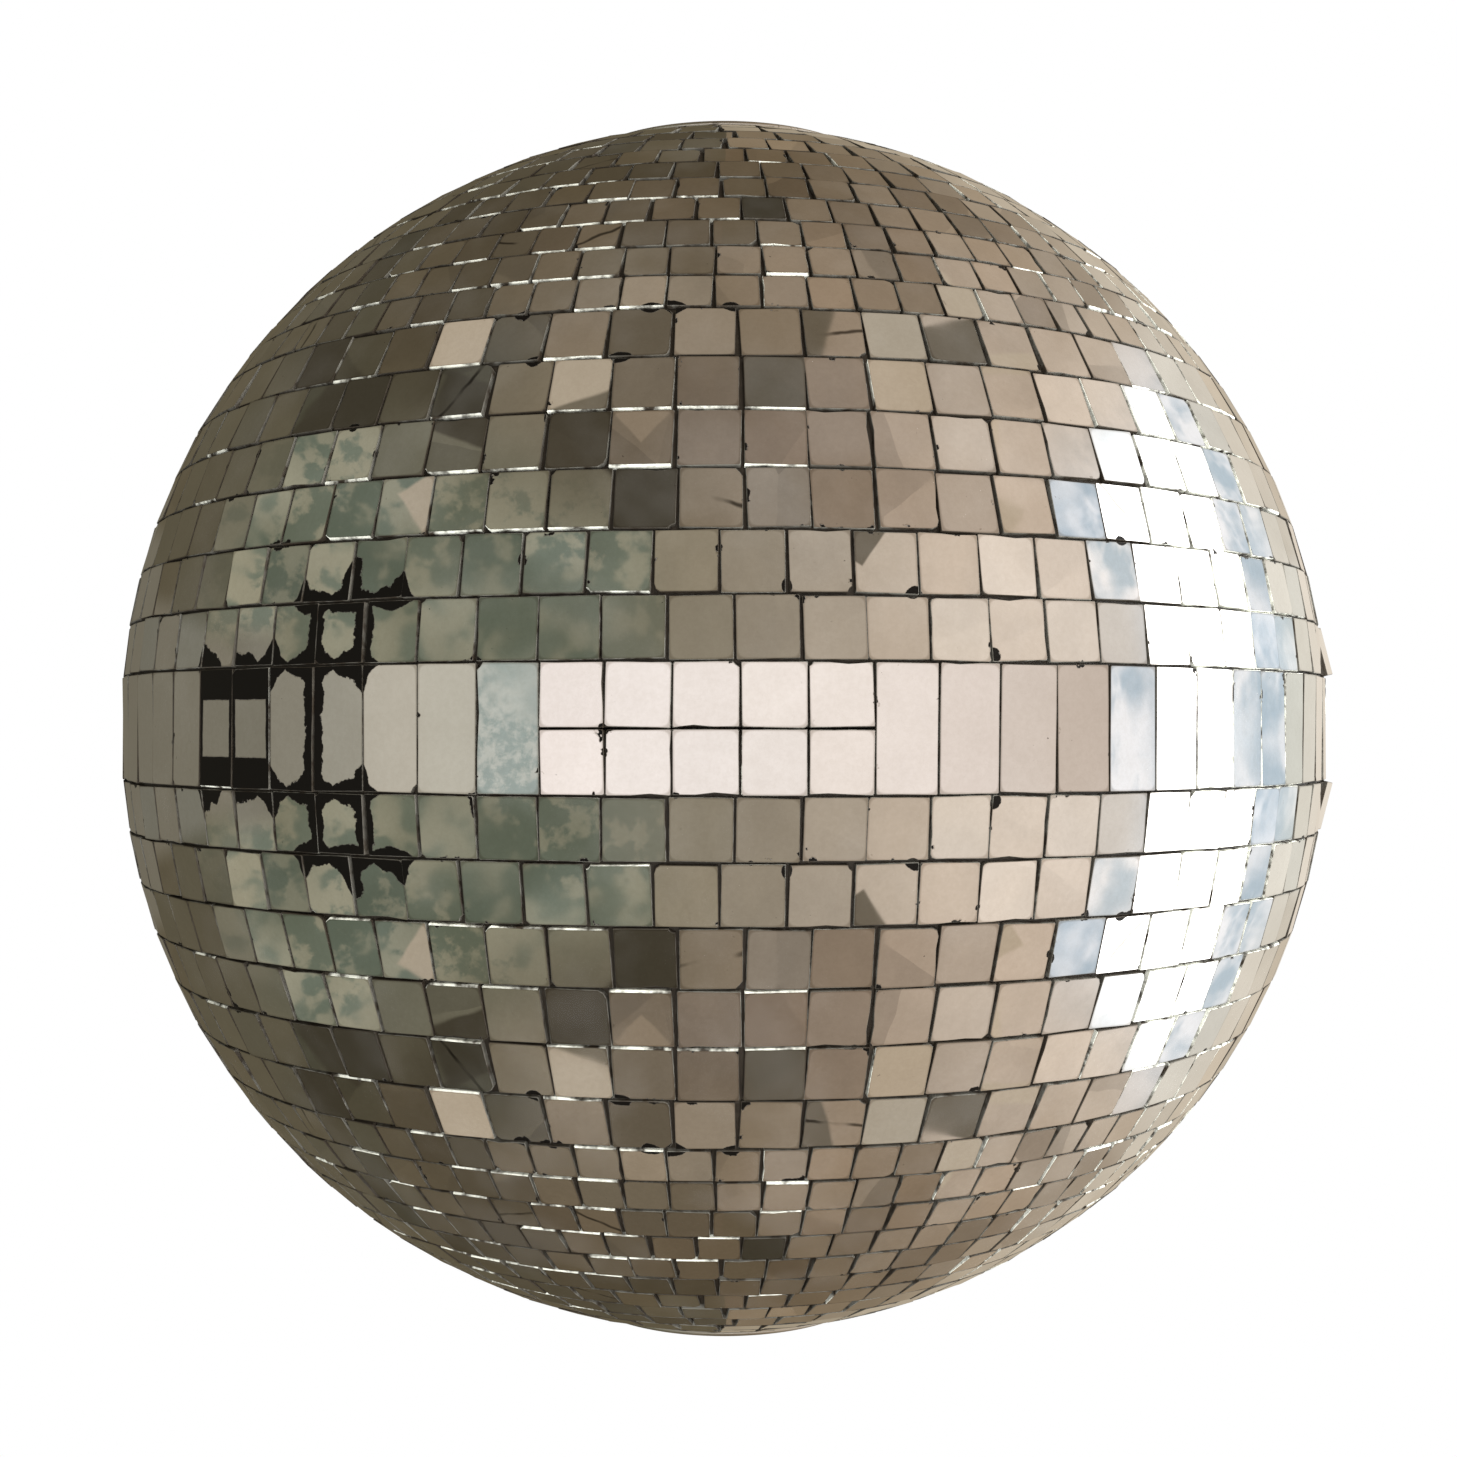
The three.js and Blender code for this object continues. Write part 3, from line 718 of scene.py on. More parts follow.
def grid_mesh(name, columns):
    """A skin over closed columns of points that follow one another round a closed path."""
    length = len(columns[0])
    corners = [point for column in columns for point in column]
    faces = []
    for i in range(len(columns)):
        here, there = i * length, (i + 1) % len(columns) * length
        for j in range(length):
            k = (j + 1) % length
            faces.append((here + j, there + j, there + k, here + k))
    mesh = bpy.data.meshes.new(name)
    mesh.from_pydata(corners, [], faces)
    bm = bmesh.new()
    bm.from_mesh(mesh)
    bmesh.ops.remove_doubles(bm, verts=bm.verts, dist=SAME_PLACE)
    bmesh.ops.recalc_face_normals(bm, faces=bm.faces)
    bm.to_mesh(mesh)
    bm.free()
    return mesh


def wire_loop(name, point_at, segments):
    """A wire bent into a loop. point_at takes the angle along the loop and the angle round the wire."""
    section = full_turn(WIRE_SEGMENTS)
    columns = [[point_at(around, turn) for turn in section] for around in full_turn(segments)]
    return grid_mesh(name, columns)


def mesh_of(name, bm):
    """Frees bm and gives what was in it as a mesh."""
    mesh = bpy.data.meshes.new(name)
    bm.to_mesh(mesh)
    bm.free()
    return mesh


def arc(centre, radius, start, end, steps=6):
    """Points of an arc in the (radius, height) plane, by angles in degrees."""
    angles = [math.radians(start + (end - start) * i / steps) for i in range(steps + 1)]
    return [(centre[0] + radius * math.cos(a), centre[1] + radius * math.sin(a)) for a in angles]


def joined(name, meshes):
    """One mesh of several closed ones."""
    bm = bmesh.new()
    for mesh in meshes:
        bm.from_mesh(mesh)
    return mesh_of(name, bm)


def cut_away(mesh, tool):
    """The mesh less the tool, both of them closed."""
    subject, cutter = add_object("subject", mesh), add_object("cutter", tool)
    step = subject.modifiers.new("cut", "BOOLEAN")
    step.operation, step.solver, step.object = "DIFFERENCE", "EXACT", cutter
    bpy.context.view_layer.update()
    result = bpy.data.meshes.new_from_object(subject.evaluated_get(bpy.context.evaluated_depsgraph_get()))
    for part in (subject, cutter):
        bpy.data.objects.remove(part)
    return result


def finish_hardware(mesh, name, material, body, node):
    mesh.polygons.foreach_set("use_smooth", [True] * len(mesh.polygons))
    mesh.set_sharp_from_angle(angle=math.radians(SMOOTH_ANGLE))
    finish_piece(mesh, name, [material], body, [node])


# ---- Adhesive under the tiles ----

ADHESIVE_WALL = 1.5 * MM
ADHESIVE_LEVELS = (0.12, 79.0)  # degrees of latitude between which it reaches, in each half


def adhesive_bed(side):
    """A closed skin under the tiles of one half, which shows in their joints."""
    low, high = ADHESIVE_LEVELS
    outside = arc((0, 0), ADHESIVE_RADIUS, low, high, steps=64)
    inside = arc((0, 0), ADHESIVE_RADIUS - ADHESIVE_WALL, high, low, steps=64)
    flip = 1 if side == "upper" else -1
    outline = [(radius, flip * height + BALL_CENTRE.z) for radius, height in outside + inside]
    mesh = turned_mesh(f"{side}_tile_adhesive", outline, segments=240)
    mesh.polygons.foreach_set("use_smooth", [True] * len(mesh.polygons))
    finish_piece(mesh, f"{side}_tile_adhesive", [ADHESIVE], "ball")


adhesive_bed("upper")
adhesive_bed("lower")


# ---- Caps, screws and hanging hardware ----

CAP_RADIUS = 64 * MM
CAP_FLAT = 36 * MM
CAP_DROP = 5.2 * MM
SHEET = 1.4 * MM
STEM_BORE = 5.6 * MM
ROD_BORE = 5.3 * MM
CUP_RADIUS = 17 * MM
CUP_DEPTH = 13 * MM
ROLL = 1.2 * MM  # radius of the rolled rim
LIP = 0.9 * MM  # radius of the bends in the sheet
DISH_STEPS = 12
DISH_BEND = 0.18  # share of the dish's fall that grows toward the rim
BORE_EDGE = 0.3 * MM  # bevel of the upper cap's bore

SCREW_PLACES = [45, 135, 225, 315]
SCREW_CIRCLE = 29 * MM
SCREW_HEAD = 3.9 * MM
SCREW_RADIUS = 2 * MM
SCREW_LENGTH = 23.3 * MM
SCREW_SEAT = 2.2 * MM  # depth of the head's cone
SCREW_SUNK = 0.3 * MM  # how far the head's rim is below the cap's top
SINK_WIDTHS = (1.4 * MM, 0.5 * MM)  # of the countersink beyond the head, over the cap and at its top
SHANK_CLEARANCE = 0.4 * MM
SLOT_WIDTH = 0.85 * MM  # of the cross in the head
SLOT_DEPTH = 0.9 * MM

EYE_PATH = 5.0 * MM  # radius of the middle line of the stem's eye
EYE_WALL = 1.6 * MM
EYE_HALF_WIDTH = 3.0 * MM
EYE_FLATNESS = 0.8  # less is a flatter side, 1 is round
STEM_RADIUS = 5 * MM
COLLAR_RADIUS = 8.5 * MM
COLLAR_GAP = 0.4 * MM  # over the cap
COLLAR_HEIGHT = 2.2 * MM
COLLAR_ROUND = 0.8 * MM
NECK_RADIUS = STEM_RADIUS - 1.6 * MM  # where the eye grows out of the collar
THREAD_DEPTH = 0.45 * MM
THREAD_PITCH = 1.5 * MM
THREAD_STEPS = 4  # points for each turn

RING_RADIUS = 17.2 * MM
RING_WIRE = 2.2 * MM
RING_DROP = 5 * MM  # from the eye to the ring's far side, which rests on the cap
RING_SLOPE = math.asin(RING_DROP / (2 * RING_RADIUS))
WELD_SWELLING = 0.28 * MM
WELD_REACH = 0.06  # radians to each side of the weld

WASHER_EDGE = 0.3 * MM
NUT_EDGE = 0.6 * MM  # bevel of the nut's bore, and of the rod's end
NUT_FACE = 0.95  # radius of the nut's flat ends, as a share of half its width across flats
NUT_FALL = 0.55  # how far its corners fall away, for each millimetre beyond that
ROD_THREAD = 26 * MM
STEP_IN = 1 * MM  # how far a plain part of the stem or rod reaches into its threaded part


def dish_slope():
    """The sloping part of a cap, from its flat to its rolled rim and back below, as (radius, depth)."""
    slope = []
    for i in range(DISH_STEPS + 1):
        share = i / DISH_STEPS
        fall = CAP_DROP * ((1 - DISH_BEND) * share + DISH_BEND * share ** 2)
        slope.append((CAP_FLAT + (CAP_RADIUS - ROLL - CAP_FLAT) * share, fall))
    rim = arc((CAP_RADIUS - ROLL, CAP_DROP + ROLL), ROLL, -90, 120, 12)
    return slope + rim + [(r, d + SHEET) for r, d in reversed(slope[:-1])]


def cap_mesh(name, inner_top, inner_under, level, side):
    """A cap whose outline starts with inner_top and ends with inner_under. side is 1 for the upper."""
    outline = inner_top + dish_slope() + inner_under
    return turned_mesh(name, [(radius, level - side * depth) for radius, depth in outline], segments=192)


def countersinks():
    """The tool that cuts the screws' holes out of the upper cap. Its ends close on its axis."""
    over, under = CAP_TOP + 1 * MM, CAP_TOP - 4 * MM
    hole = SCREW_RADIUS + SHANK_CLEARANCE
    outline = [
        (ON_AXIS, over), (SCREW_HEAD + SINK_WIDTHS[0], over), (SCREW_HEAD + SINK_WIDTHS[1], CAP_TOP),
        (hole, CAP_TOP - SHEET), (hole, under), (ON_AXIS, under),
    ]
    tools = []
    for angle in SCREW_PLACES:
        tool = turned_mesh("tool", outline, segments=32)
        tool.transform(Matrix.Translation(screw_place(angle)))
        tools.append(tool)
    return joined("countersinks", tools)


def screw_place(angle):
    turn = math.radians(angle)
    return Vector((SCREW_CIRCLE * math.cos(turn), SCREW_CIRCLE * math.sin(turn), 0))


def make_caps():
    top = cap_mesh(
        "top_cap",
        [(STEM_BORE, SHEET - BORE_EDGE), (STEM_BORE, BORE_EDGE), (STEM_BORE + BORE_EDGE, 0)],
        [(CAP_FLAT, SHEET), (STEM_BORE + BORE_EDGE, SHEET)],
        CAP_TOP, 1,
    )
    top = cut_away(top, countersinks())
    finish_hardware(top, "top_spun_cap", CAP_METAL, "ball", "top_cap")
    wall = CUP_RADIUS + SHEET
    bottom = cap_mesh(
        "bottom_cap",
        [(ROD_BORE, CUP_DEPTH + SHEET), (ROD_BORE, CUP_DEPTH)]
        + arc((CUP_RADIUS - LIP, CUP_DEPTH - LIP), LIP, 90, 0)
        + arc((CUP_RADIUS + LIP, LIP), LIP, 180, 270),
        [
            (wall + LIP, SHEET), (wall, SHEET + LIP),
            (wall, CUP_DEPTH + SHEET - LIP), (wall - LIP, CUP_DEPTH + SHEET),
        ],
        CAP_BOTTOM, -1,
    )
    finish_hardware(bottom, "bottom_spun_cap", CAP_METAL, "ball", "bottom_cap")


def threaded(radius, low, high):
    """The outline of a rod with a thread that winds round it, as a function of the angle."""
    def outline_at(angle):
        points = [(NEAR_AXIS, low), (radius - 2 * THREAD_DEPTH, low)]
        count = int((high - low) * THREAD_STEPS / THREAD_PITCH)
        for i in range(1, count):
            height = low + (high - low) * i / count
            turn = (height / THREAD_PITCH + angle / (2 * math.pi)) % 1
            points.append((radius - THREAD_DEPTH * abs(2 * turn - 1), height))
        return points + [(radius - THREAD_DEPTH, high), (NEAR_AXIS, high)]
    return outline_at


def screw_head(top):
    """A countersunk head with a cross cut into it. top is the level of its rim."""
    outline = [
        (NEAR_AXIS, top - SCREW_SEAT), (SCREW_RADIUS, top - SCREW_SEAT),
        (SCREW_HEAD - 0.1 * MM, top - 0.3 * MM), (SCREW_HEAD, top - 0.1 * MM),
        (SCREW_HEAD - 0.2 * MM, top), (SCREW_HEAD * 0.5, top + 0.25 * MM), (NEAR_AXIS, top + 0.3 * MM),
    ]
    mesh = turned_mesh("head", outline, segments=48)
    slot_height = 2.2 * MM
    size = Matrix.Diagonal((SCREW_HEAD * 1.15, SLOT_WIDTH, slot_height, 1))
    for turn in (0, math.pi / 2):
        bm = bmesh.new()
        bmesh.ops.create_cube(bm, size=1)
        raised = Matrix.Translation((0, 0, top - SLOT_DEPTH + slot_height / 2))
        bm.transform(raised @ Matrix.Rotation(turn, 4, "Z") @ size)
        mesh = cut_away(mesh, mesh_of("slot", bm))
    return mesh


def make_screws():
    for number, angle in enumerate(SCREW_PLACES, 1):
        rng = random.Random(number)
        top = CAP_TOP - SCREW_SUNK
        thread = threaded(SCREW_RADIUS, top - SCREW_LENGTH, top - SCREW_SEAT + 0.1 * MM)
        shank = turned_mesh("shank", thread, segments=24)
        mesh = joined("screw", [screw_head(top), shank])
        turn = Matrix.Rotation(rng.uniform(0, math.pi), 4, "Z")
        mesh.transform(Matrix.Translation(screw_place(angle)) @ turn)
        node = f"top_cap_screw_{number}"
        finish_hardware(mesh, f"cap_screw_{number}", ZINC, "ball", node)


def make_stem():
    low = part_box("swivel_stem")[0].z
    collar_low = CAP_TOP + COLLAR_GAP
    collar_top = collar_low + COLLAR_HEIGHT
    collar = [
        (NEAR_AXIS, collar_low - STEP_IN), (STEM_RADIUS, collar_low - STEP_IN), (STEM_RADIUS, collar_low),
        (COLLAR_RADIUS - 0.3 * MM, collar_low),
        *arc((COLLAR_RADIUS - COLLAR_ROUND, collar_low + COLLAR_ROUND), COLLAR_ROUND, -60, 90),
        (STEM_RADIUS + 0.6 * MM, collar_top - 0.5 * MM),
        *arc((STEM_RADIUS + 0.2 * MM, collar_top + 1.1 * MM), 1 * MM, 270, 180),
        (NECK_RADIUS, collar_top + 2.2 * MM), (NEAR_AXIS, collar_top + 2.2 * MM),
    ]

    def eye_at(around, turn):
        reach = EYE_PATH + EYE_WALL * math.cos(turn)
        width = EYE_HALF_WIDTH * math.copysign(abs(math.sin(turn)) ** EYE_FLATNESS, math.sin(turn))
        return (width, reach * math.cos(around), reach * math.sin(around))

    parts = [
        turned_mesh("collar", collar, segments=64),
        wire_loop("eye", eye_at, segments=72),
        turned_mesh("shank", threaded(STEM_RADIUS, low, collar_low - 0.9 * STEP_IN), segments=48),
    ]
    mesh = joined("stem", parts)
    finish_hardware(mesh, "swivel_eye_stem", ZINC, "hanger", "swivel_stem")


def make_ring():
    """Round wire bent into a ring, with a slight swelling at the weld, which is farthest from the eye."""
    def ring_at(around, turn):
        wire = RING_WIRE + WELD_SWELLING * hill(around, math.pi / 2, WELD_REACH)
        reach = RING_RADIUS + wire * math.cos(turn)
        return (reach * math.cos(around), reach * math.sin(around) + RING_RADIUS, wire * math.sin(turn))

    mesh = wire_loop("ring", ring_at, segments=144)
    mesh.transform(Matrix.Rotation(-RING_SLOPE, 4, "X"))
    finish_hardware(mesh, "hanging_wire_ring", ZINC, "ring", "hanging_ring")


def make_nut_and_washer():
    low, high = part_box("bottom_washer")
    radius, edge = high.x, WASHER_EDGE
    washer = [
        (ROD_BORE, low.z + edge), (ROD_BORE + edge, low.z),
        (radius - edge, low.z), (radius, low.z + edge),
        (radius, high.z - edge), (radius - edge, high.z),
        (ROD_BORE + edge, high.z), (ROD_BORE, high.z - edge),
    ]
    mesh = turned_mesh("washer", washer, segments=96)
    finish_hardware(mesh, "bottom_plate_washer", ZINC, "ball", "bottom_washer")
    low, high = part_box("bottom_nut")
    apothem, edge = high.x, NUT_EDGE
    bore, face = ROD_BORE - 0.2 * MM, apothem * NUT_FACE

    def nut_at(angle):
        """The outline of a hexagonal nut with corners along Y, and rounded faces at both ends."""
        from_flat = (angle + math.pi / 6) % (math.pi / 3) - math.pi / 6
        reach = apothem / math.cos(from_flat)
        fall = (reach - face) * NUT_FALL
        return [
            (bore, low.z + edge), (bore + edge, low.z), (face, low.z), (reach, low.z + fall),
            (reach, high.z - fall), (face, high.z), (bore + edge, high.z), (bore, high.z - edge),
        ]

    mesh = turned_mesh("nut", nut_at, segments=96)
    finish_hardware(mesh, "bottom_hex_nut", ZINC, "ball", "bottom_nut")


def make_rod():
    low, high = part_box("tie_rod")
    thread_end = low.z + ROD_THREAD
    plain = [
        (NEAR_AXIS, thread_end - STEP_IN), (high.x - THREAD_DEPTH, thread_end - STEP_IN),
        (high.x, thread_end), (high.x, high.z - NUT_EDGE),
        (high.x - NUT_EDGE, high.z), (NEAR_AXIS, high.z),
    ]
    parts = [
        turned_mesh("thread", threaded(high.x, low.z, thread_end), segments=48),
        turned_mesh("shaft", plain, segments=48),
    ]
    finish_hardware(joined("rod", parts), "threaded_tie_rod", STEEL, "ball", "tie_rod")


make_caps()
make_screws()
make_stem()
make_ring()
make_nut_and_washer()
make_rod()


# ---- Materials of the CAD nodes that stay: all of them are shut up inside the ball ----

KEPT_NODES = {
    RESIN: ["core_upper_shell", "core_lower_shell", "core_joint_band"],
    PLYWOOD: ["top_hub", "bottom_hub"],
    STEEL: ["bearing_housing", "bearing_upper_race", "bearing_lower_race", "bearing_ball_cage"],
    ZINC: ["rod_lock_nut", "stem_castle_nut", "cotter_pin"],
}

for material, names in KEPT_NODES.items():
    for name in names:
        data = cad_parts[name].data
        data.materials.clear()
        data.materials.append(material)


# ---- Room: what the mirrors see, and light ----

# Colours seen in the mirrors, as (azimuth, red, green, blue). Azimuth 0 faces -Y and +90 faces +X.
# The room is the same above and below the ball's level.
LEVEL_STRIP = [
    (-180, 98, 92, 78), (-90, 122, 118, 105), (-72, 150, 146, 133), (-55, 190, 184, 171),
    (-34.8, 184, 184, 173), (-34.2, 240, 231, 227), (14, 239, 230, 224), (32, 236, 225, 218),
    (46, 222, 210, 202), (58, 208, 194, 182), (70, 192, 177, 165), (124, 206, 208, 200),
    (150, 218, 208, 194), (180, 150, 138, 120),
]
LOWER_WALLS = [
    (-180, 88, 80, 62), (-125, 90, 84, 68), (-90, 104, 102, 86), (-50, 122, 120, 103),
    (-18, 118, 113, 96), (5, 148, 138, 122), (22, 170, 157, 141), (38, 202, 187, 171),
    (54, 224, 208, 192), (74, 218, 206, 194), (126, 222, 218, 208), (150, 192, 180, 162),
    (180, 150, 138, 118),
]
UPPER_WALLS = [
    (-180, 84, 76, 60), (-112, 74, 70, 56), (-60, 104, 101, 86), (-20, 100, 94, 78), (-7, 96, 88, 73),
    (4, 128, 115, 100), (10, 132, 119, 104), (28, 142, 127, 111), (52, 176, 160, 144),
    (96, 214, 201, 187), (132, 172, 158, 141), (172, 126, 111, 90),
]
CORNICE = [
    (-180, 86, 77, 60), (-110, 82, 74, 59), (-72, 68, 65, 52), (-55, 122, 113, 96), (-30, 116, 106, 90),
    (-8, 124, 111, 97), (10, 121, 107, 93), (38, 144, 128, 112), (76, 200, 184, 167), (90, 190, 174, 157),
    (140, 142, 126, 107), (172, 96, 83, 65),
]
CEILING = [
    (-180, 92, 80, 63), (-100, 102, 92, 76), (-45, 142, 129, 111), (-20, 133, 121, 104),
    (10, 114, 102, 85), (40, 138, 123, 106), (90, 137, 122, 104), (135, 124, 109, 91), (172, 90, 79, 62),
]
# Square things in the room: azimuth, elevation, half size and tilt in degrees, and colour.
DARK, DIM, MUTED, PALE = (60, 55, 44), (92, 84, 70), (142, 128, 110), (180, 166, 146)
THINGS = [
    (-115, 38, 4.0, 10, DARK), (-104, 41, 4.0, 10, DARK), (-94, 42, 4.6, 20, DARK),
    (-70, 48, 4.0, 15, DARK), (-33, 46.5, 4.0, 10, DARK), (-17.5, 41, 5.0, 50, DARK),
    (13, 61, 2.6, 30, DIM), (164, 74, 4.0, 20, DARK),
    (-84, 55.5, 4.6, 30, PALE), (-50, 58.5, 3.8, 50, PALE), (-9, 52.5, 2.6, 35, MUTED),
    (-21, 55, 2.4, 55, MUTED), (4, 47, 3.0, 35, DIM), (16, 56, 3.4, 50, DIM), (34, 47, 3.4, 60, PALE),
    (52, 53, 4.4, 35, PALE), (80, 58, 3.0, 50, DIM),
    (28, 31, 2.2, 50, DIM), (68, 45, 3.6, 60, PALE), (88, 51, 4.4, 40, PALE), (104, 60, 4.0, 55, PALE),
    (64, 64, 4.0, 40, PALE), (-8, 70, 3.0, 50, MUTED), (-40, 72, 4.0, 35, DIM), (-62, 33, 3.0, 50, PALE),
    (40, 72, 4.0, 50, DIM), (60, 36, 3.2, 40, PALE),
]
WINDOW = (84, 107)  # azimuths of the pane, far brighter than white
REVEAL = (74.5, 125)  # azimuths of the pale blue edges of the window
WINDOW_TOP = (26, 38)  # elevations between which the pane ends
GLARING_WHITE = (5, 5, 5, 1)
MIRROR_LOSS = 1.22  # makes up for what the mirrors swallow
# Elevations between which the room changes from what is below to these colours.
ROOM_LEVELS = [(31, 35, UPPER_WALLS), (44, 48, CORNICE), (58, 66, CEILING)]
STRIP_EDGE = (9.5, 10.5)  # elevations between which the level strip ends
BLUE_SPOT = (-44, -34.5)  # azimuths of leaves seen in the level strip


def make_world():
    world = bpy.data.worlds.new("room")
    world.use_nodes = True
    bpy.context.scene.world = world
    nodes = Nodes(world.node_tree)
    toward = nodes.make("ShaderNodeTexCoord").outputs["Generated"]
    x, y, z = nodes.split(toward)
    azimuth = nodes.math("DEGREES", nodes.math("ARCTAN2", x, nodes.times(y, -1)))
    height = nodes.math("ABSOLUTE", z)
    elevation = nodes.math("DEGREES", nodes.math("ARCSINE", height))
    toward = nodes.make("ShaderNodeCombineXYZ", {0: x, 1: y, 2: height}).outputs[0]

    turn = nodes.even_ramp(azimuth, -180, 180)
    colour = nodes.colours(turn, round_the_room(LOWER_WALLS))
    for start, end, stops in ROOM_LEVELS:
        higher = nodes.colours(turn, round_the_room(stops))
        colour = nodes.mix(nodes.ramp(elevation, start, end), colour, higher)

    colour = flat_areas(nodes, colour, toward, elevation)
    colour = garden(nodes, colour, toward, azimuth, elevation)
    colour = things(nodes, colour, toward)
    level = nodes.ramp(elevation, *STRIP_EDGE, 1, 0)
    colour = nodes.mix(level, colour, nodes.colours(turn, round_the_room(LEVEL_STRIP)))
    blue_spot = nodes.times(level, nodes.band(azimuth, *BLUE_SPOT, 0.4))
    leaves = nodes.ramp(nodes.noise(toward, 100, 4, 0.65), 0.4, 0.6)
    leaves = nodes.mix(leaves, srgb(138, 154, 152), srgb(186, 190, 184))
    colour = nodes.mix(nodes.times(blue_spot, 0.75), colour, leaves)
    colour = window(nodes, colour, toward, azimuth, elevation)

    room = nodes.make("ShaderNodeBackground", {"Color": colour, "Strength": MIRROR_LOSS})
    plain = nodes.make("ShaderNodeBackground", {"Color": (1, 1, 1, 1), "Strength": 1.0})
    seen = nodes.make("ShaderNodeLightPath").outputs["Is Camera Ray"]
    both = nodes.make("ShaderNodeMixShader", {0: seen, 1: room.outputs[0], 2: plain.outputs[0]})
    nodes.make("ShaderNodeOutputWorld", {"Surface": both.outputs[0]})


def round_the_room(stops):
    """The same stops with the azimuth as a share of a full turn."""
    return [((azimuth + 180) / 360, srgb(*colour)) for azimuth, *colour in stops]


def flat_areas(nodes, colour, toward, elevation):
    """Areas of slightly different tone with crisp limits, stronger high up, and soft smears over them."""
    cells = nodes.make("ShaderNodeTexVoronoi", {"Vector": toward, "Scale": 7.0})
    tone = nodes.split(cells.outputs["Color"])[0]
    spread = nodes.ramp(elevation, 26, 40, 0.10, 0.42)
    tone = nodes.times(nodes.minus(tone, 0.5), spread)
    smear = nodes.noise(nodes.vector("MULTIPLY", toward, (1, 1, 0.4)), 34, 4, 0.65)
    smear = nodes.times(nodes.minus(smear, 0.5), 0.34)
    tone = nodes.plus(nodes.plus(tone, smear), 1)
    return nodes.mix(1.0, colour, tone, "MULTIPLY")


def garden(nodes, colour, toward, azimuth, elevation):
    """Mottled green and grey beyond the left wall."""
    patches = nodes.ramp(nodes.noise(toward, 8, 2, 0.5), 0.40, 0.60)
    leaves = nodes.noise(toward, 58, 4, 0.6)
    leaves = nodes.plus(leaves, nodes.times(nodes.minus(patches, 0.5), 0.12))
    leaves = nodes.ramp(leaves, 0.44, 0.56)
    dark_green = nodes.mix(patches, srgb(88, 96, 82), srgb(112, 121, 108))
    pale_green = nodes.mix(patches, srgb(120, 120, 102), srgb(152, 150, 131))
    green = nodes.mix(leaves, dark_green, pale_green)
    place = nodes.times(nodes.band(azimuth, -106, -14, 8), nodes.band(elevation, 9, 37, 3))
    return nodes.mix(nodes.times(place, 0.9), colour, green)


def things(nodes, colour, toward):
    """Square things with crisp sides, laid over the walls and the ceiling."""
    for azimuth, elevation, half_size, tilt, shade in THINGS:
        middle = on_ball(azimuth, elevation, 1)
        level = Vector((0, 0, 1)).cross(middle).normalized()
        sides = [Matrix.Rotation(math.radians(tilt + turn), 3, middle) @ level for turn in (0, 90)]
        offset = nodes.vector("SUBTRACT", toward, tuple(middle))
        along = [nodes.vector("DOT_PRODUCT", offset, tuple(side)) for side in sides]
        reach = nodes.math("MAXIMUM", *[nodes.math("ABSOLUTE", distance) for distance in along])
        size = math.radians(half_size)
        facing = nodes.math("GREATER_THAN", nodes.vector("DOT_PRODUCT", toward, tuple(middle)), 0.5)
        covered = nodes.times(facing, nodes.ramp(reach, size * 0.98, size * 1.02, 0.9, 0))
        colour = nodes.mix(covered, colour, srgb(*shade))
    return colour


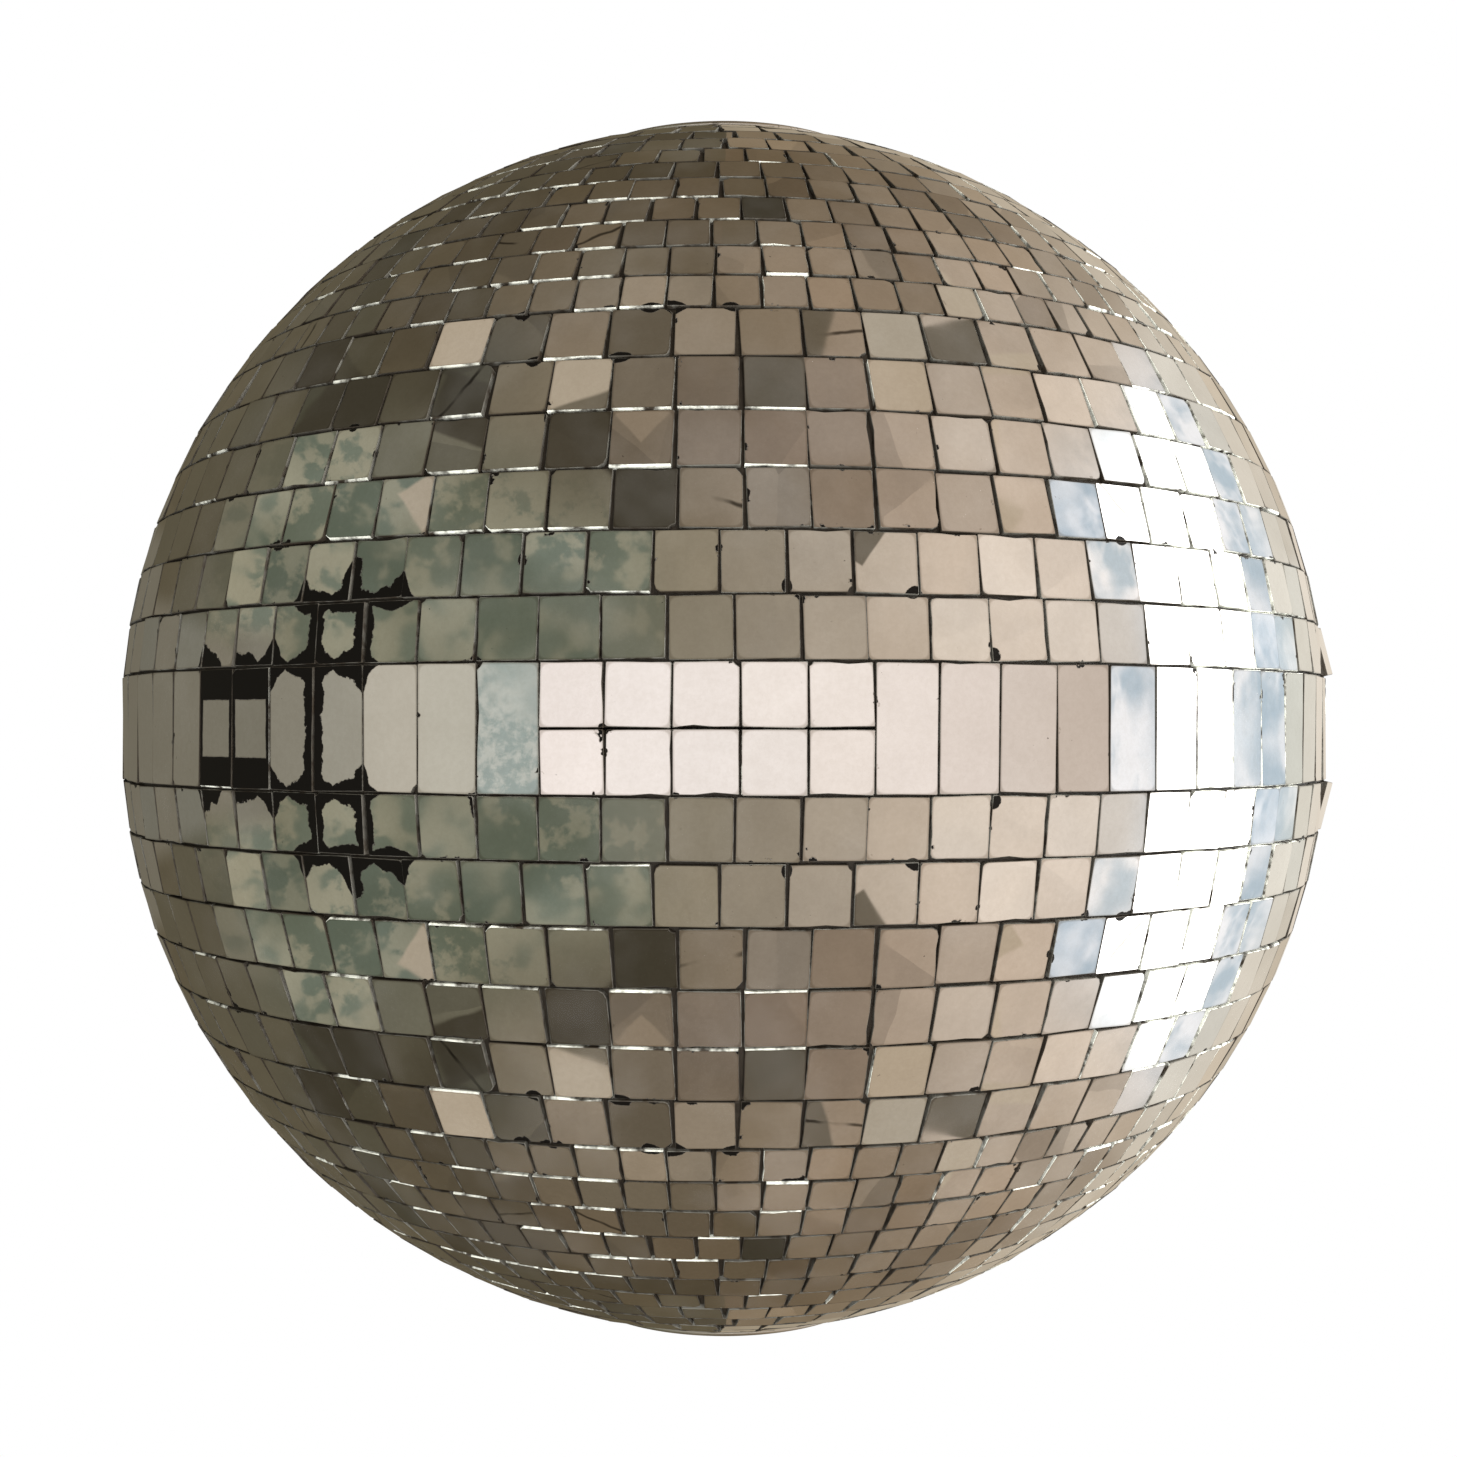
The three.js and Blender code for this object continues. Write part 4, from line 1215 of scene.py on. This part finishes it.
def window(nodes, colour, toward, azimuth, elevation):
    """A window on the right, blown out white, with pale blue reveals that have streaks in them."""
    streaks = nodes.noise(nodes.vector("MULTIPLY", toward, (1, 1, 0.3)), 60, 3, 0.65)
    sky = nodes.mix(nodes.ramp(streaks, 0.36, 0.64), srgb(178, 196, 210), srgb(250, 251, 255))
    reveal = nodes.band(azimuth, *REVEAL, 1.2)
    colour = nodes.mix(nodes.times(reveal, nodes.ramp(elevation, 30, 42, 0.9, 0)), colour, sky)
    left, right = WINDOW
    widened = nodes.minus(azimuth, nodes.ramp(elevation, 8, 20, 0, 8))
    pane = nodes.times(nodes.band(azimuth, left, 180, 1), nodes.ramp(widened, right - 1, right + 1, 1, 0))
    pane = nodes.times(pane, nodes.ramp(elevation, *WINDOW_TOP, 1, 0))
    return nodes.mix(pane, colour, GLARING_WHITE)


make_world()


def area_light(name, place, size, power, colour=(1, 1, 1)):
    """A soft light aimed at the ball's centre, which the mirrors don't show."""
    data = bpy.data.lights.new(name, "AREA")
    data.shape = "DISK"
    data.size = size
    data.energy = power
    data.color = colour
    light = add_object(name, data)
    light.location = BALL_CENTRE + Vector(place)
    light.rotation_euler = (BALL_CENTRE - light.location).to_track_quat("-Z", "Y").to_euler()
    light.visible_glossy = False


area_light("key_light", (0.9, -1.3, 1.5), 1.2, 34)
area_light("fill_from_below", (0.2, -1.2, -0.5), 0.9, 12)
area_light("window_light", (1.9, -0.2, 0.3), 1.1, 30, (0.96, 0.98, 1.0))
area_light("back_light", (-0.9, 1.5, 1.2), 1.2, 18)


FLOOR_HALF_SIZE = 12
FLOOR_BELOW = 0.9  # under the ball, which hangs
FLOOR_FADE = (0.5, 1.5)  # distances from under the ball between which the floor fades to white


def make_floor():
    """A plain pale floor that fades into the white background."""
    material, nodes, here = new_material("pale_floor")
    distance = nodes.vector("LENGTH", nodes.vector("MULTIPLY", here, (1, 1, 0)))
    grain = nodes.noise(here, 12, 3)
    colour = nodes.mix(grain, (0.86, 0.86, 0.85, 1), (0.88, 0.88, 0.87, 1))
    plain = nodes.make("ShaderNodeBsdfDiffuse", {"Color": colour})
    glow = nodes.make("ShaderNodeEmission", {"Color": (1, 1, 1, 1), "Strength": 1.0})
    away = nodes.ramp(distance, *FLOOR_FADE)
    both = nodes.make("ShaderNodeMixShader", {0: away, 1: plain.outputs[0], 2: glow.outputs[0]})
    nodes.make("ShaderNodeOutputMaterial", {"Surface": both.outputs[0]})
    bm = bmesh.new()
    bmesh.ops.create_grid(bm, x_segments=12, y_segments=12, size=FLOOR_HALF_SIZE)
    mesh = mesh_of("floor", bm)
    mesh.materials.append(material)
    floor = add_object("floor", mesh)
    floor.location = (0, 0, CAP_BOTTOM - FLOOR_BELOW)
    floor.visible_glossy = False


make_floor()

bpy.context.scene.view_settings.view_transform = "Standard"
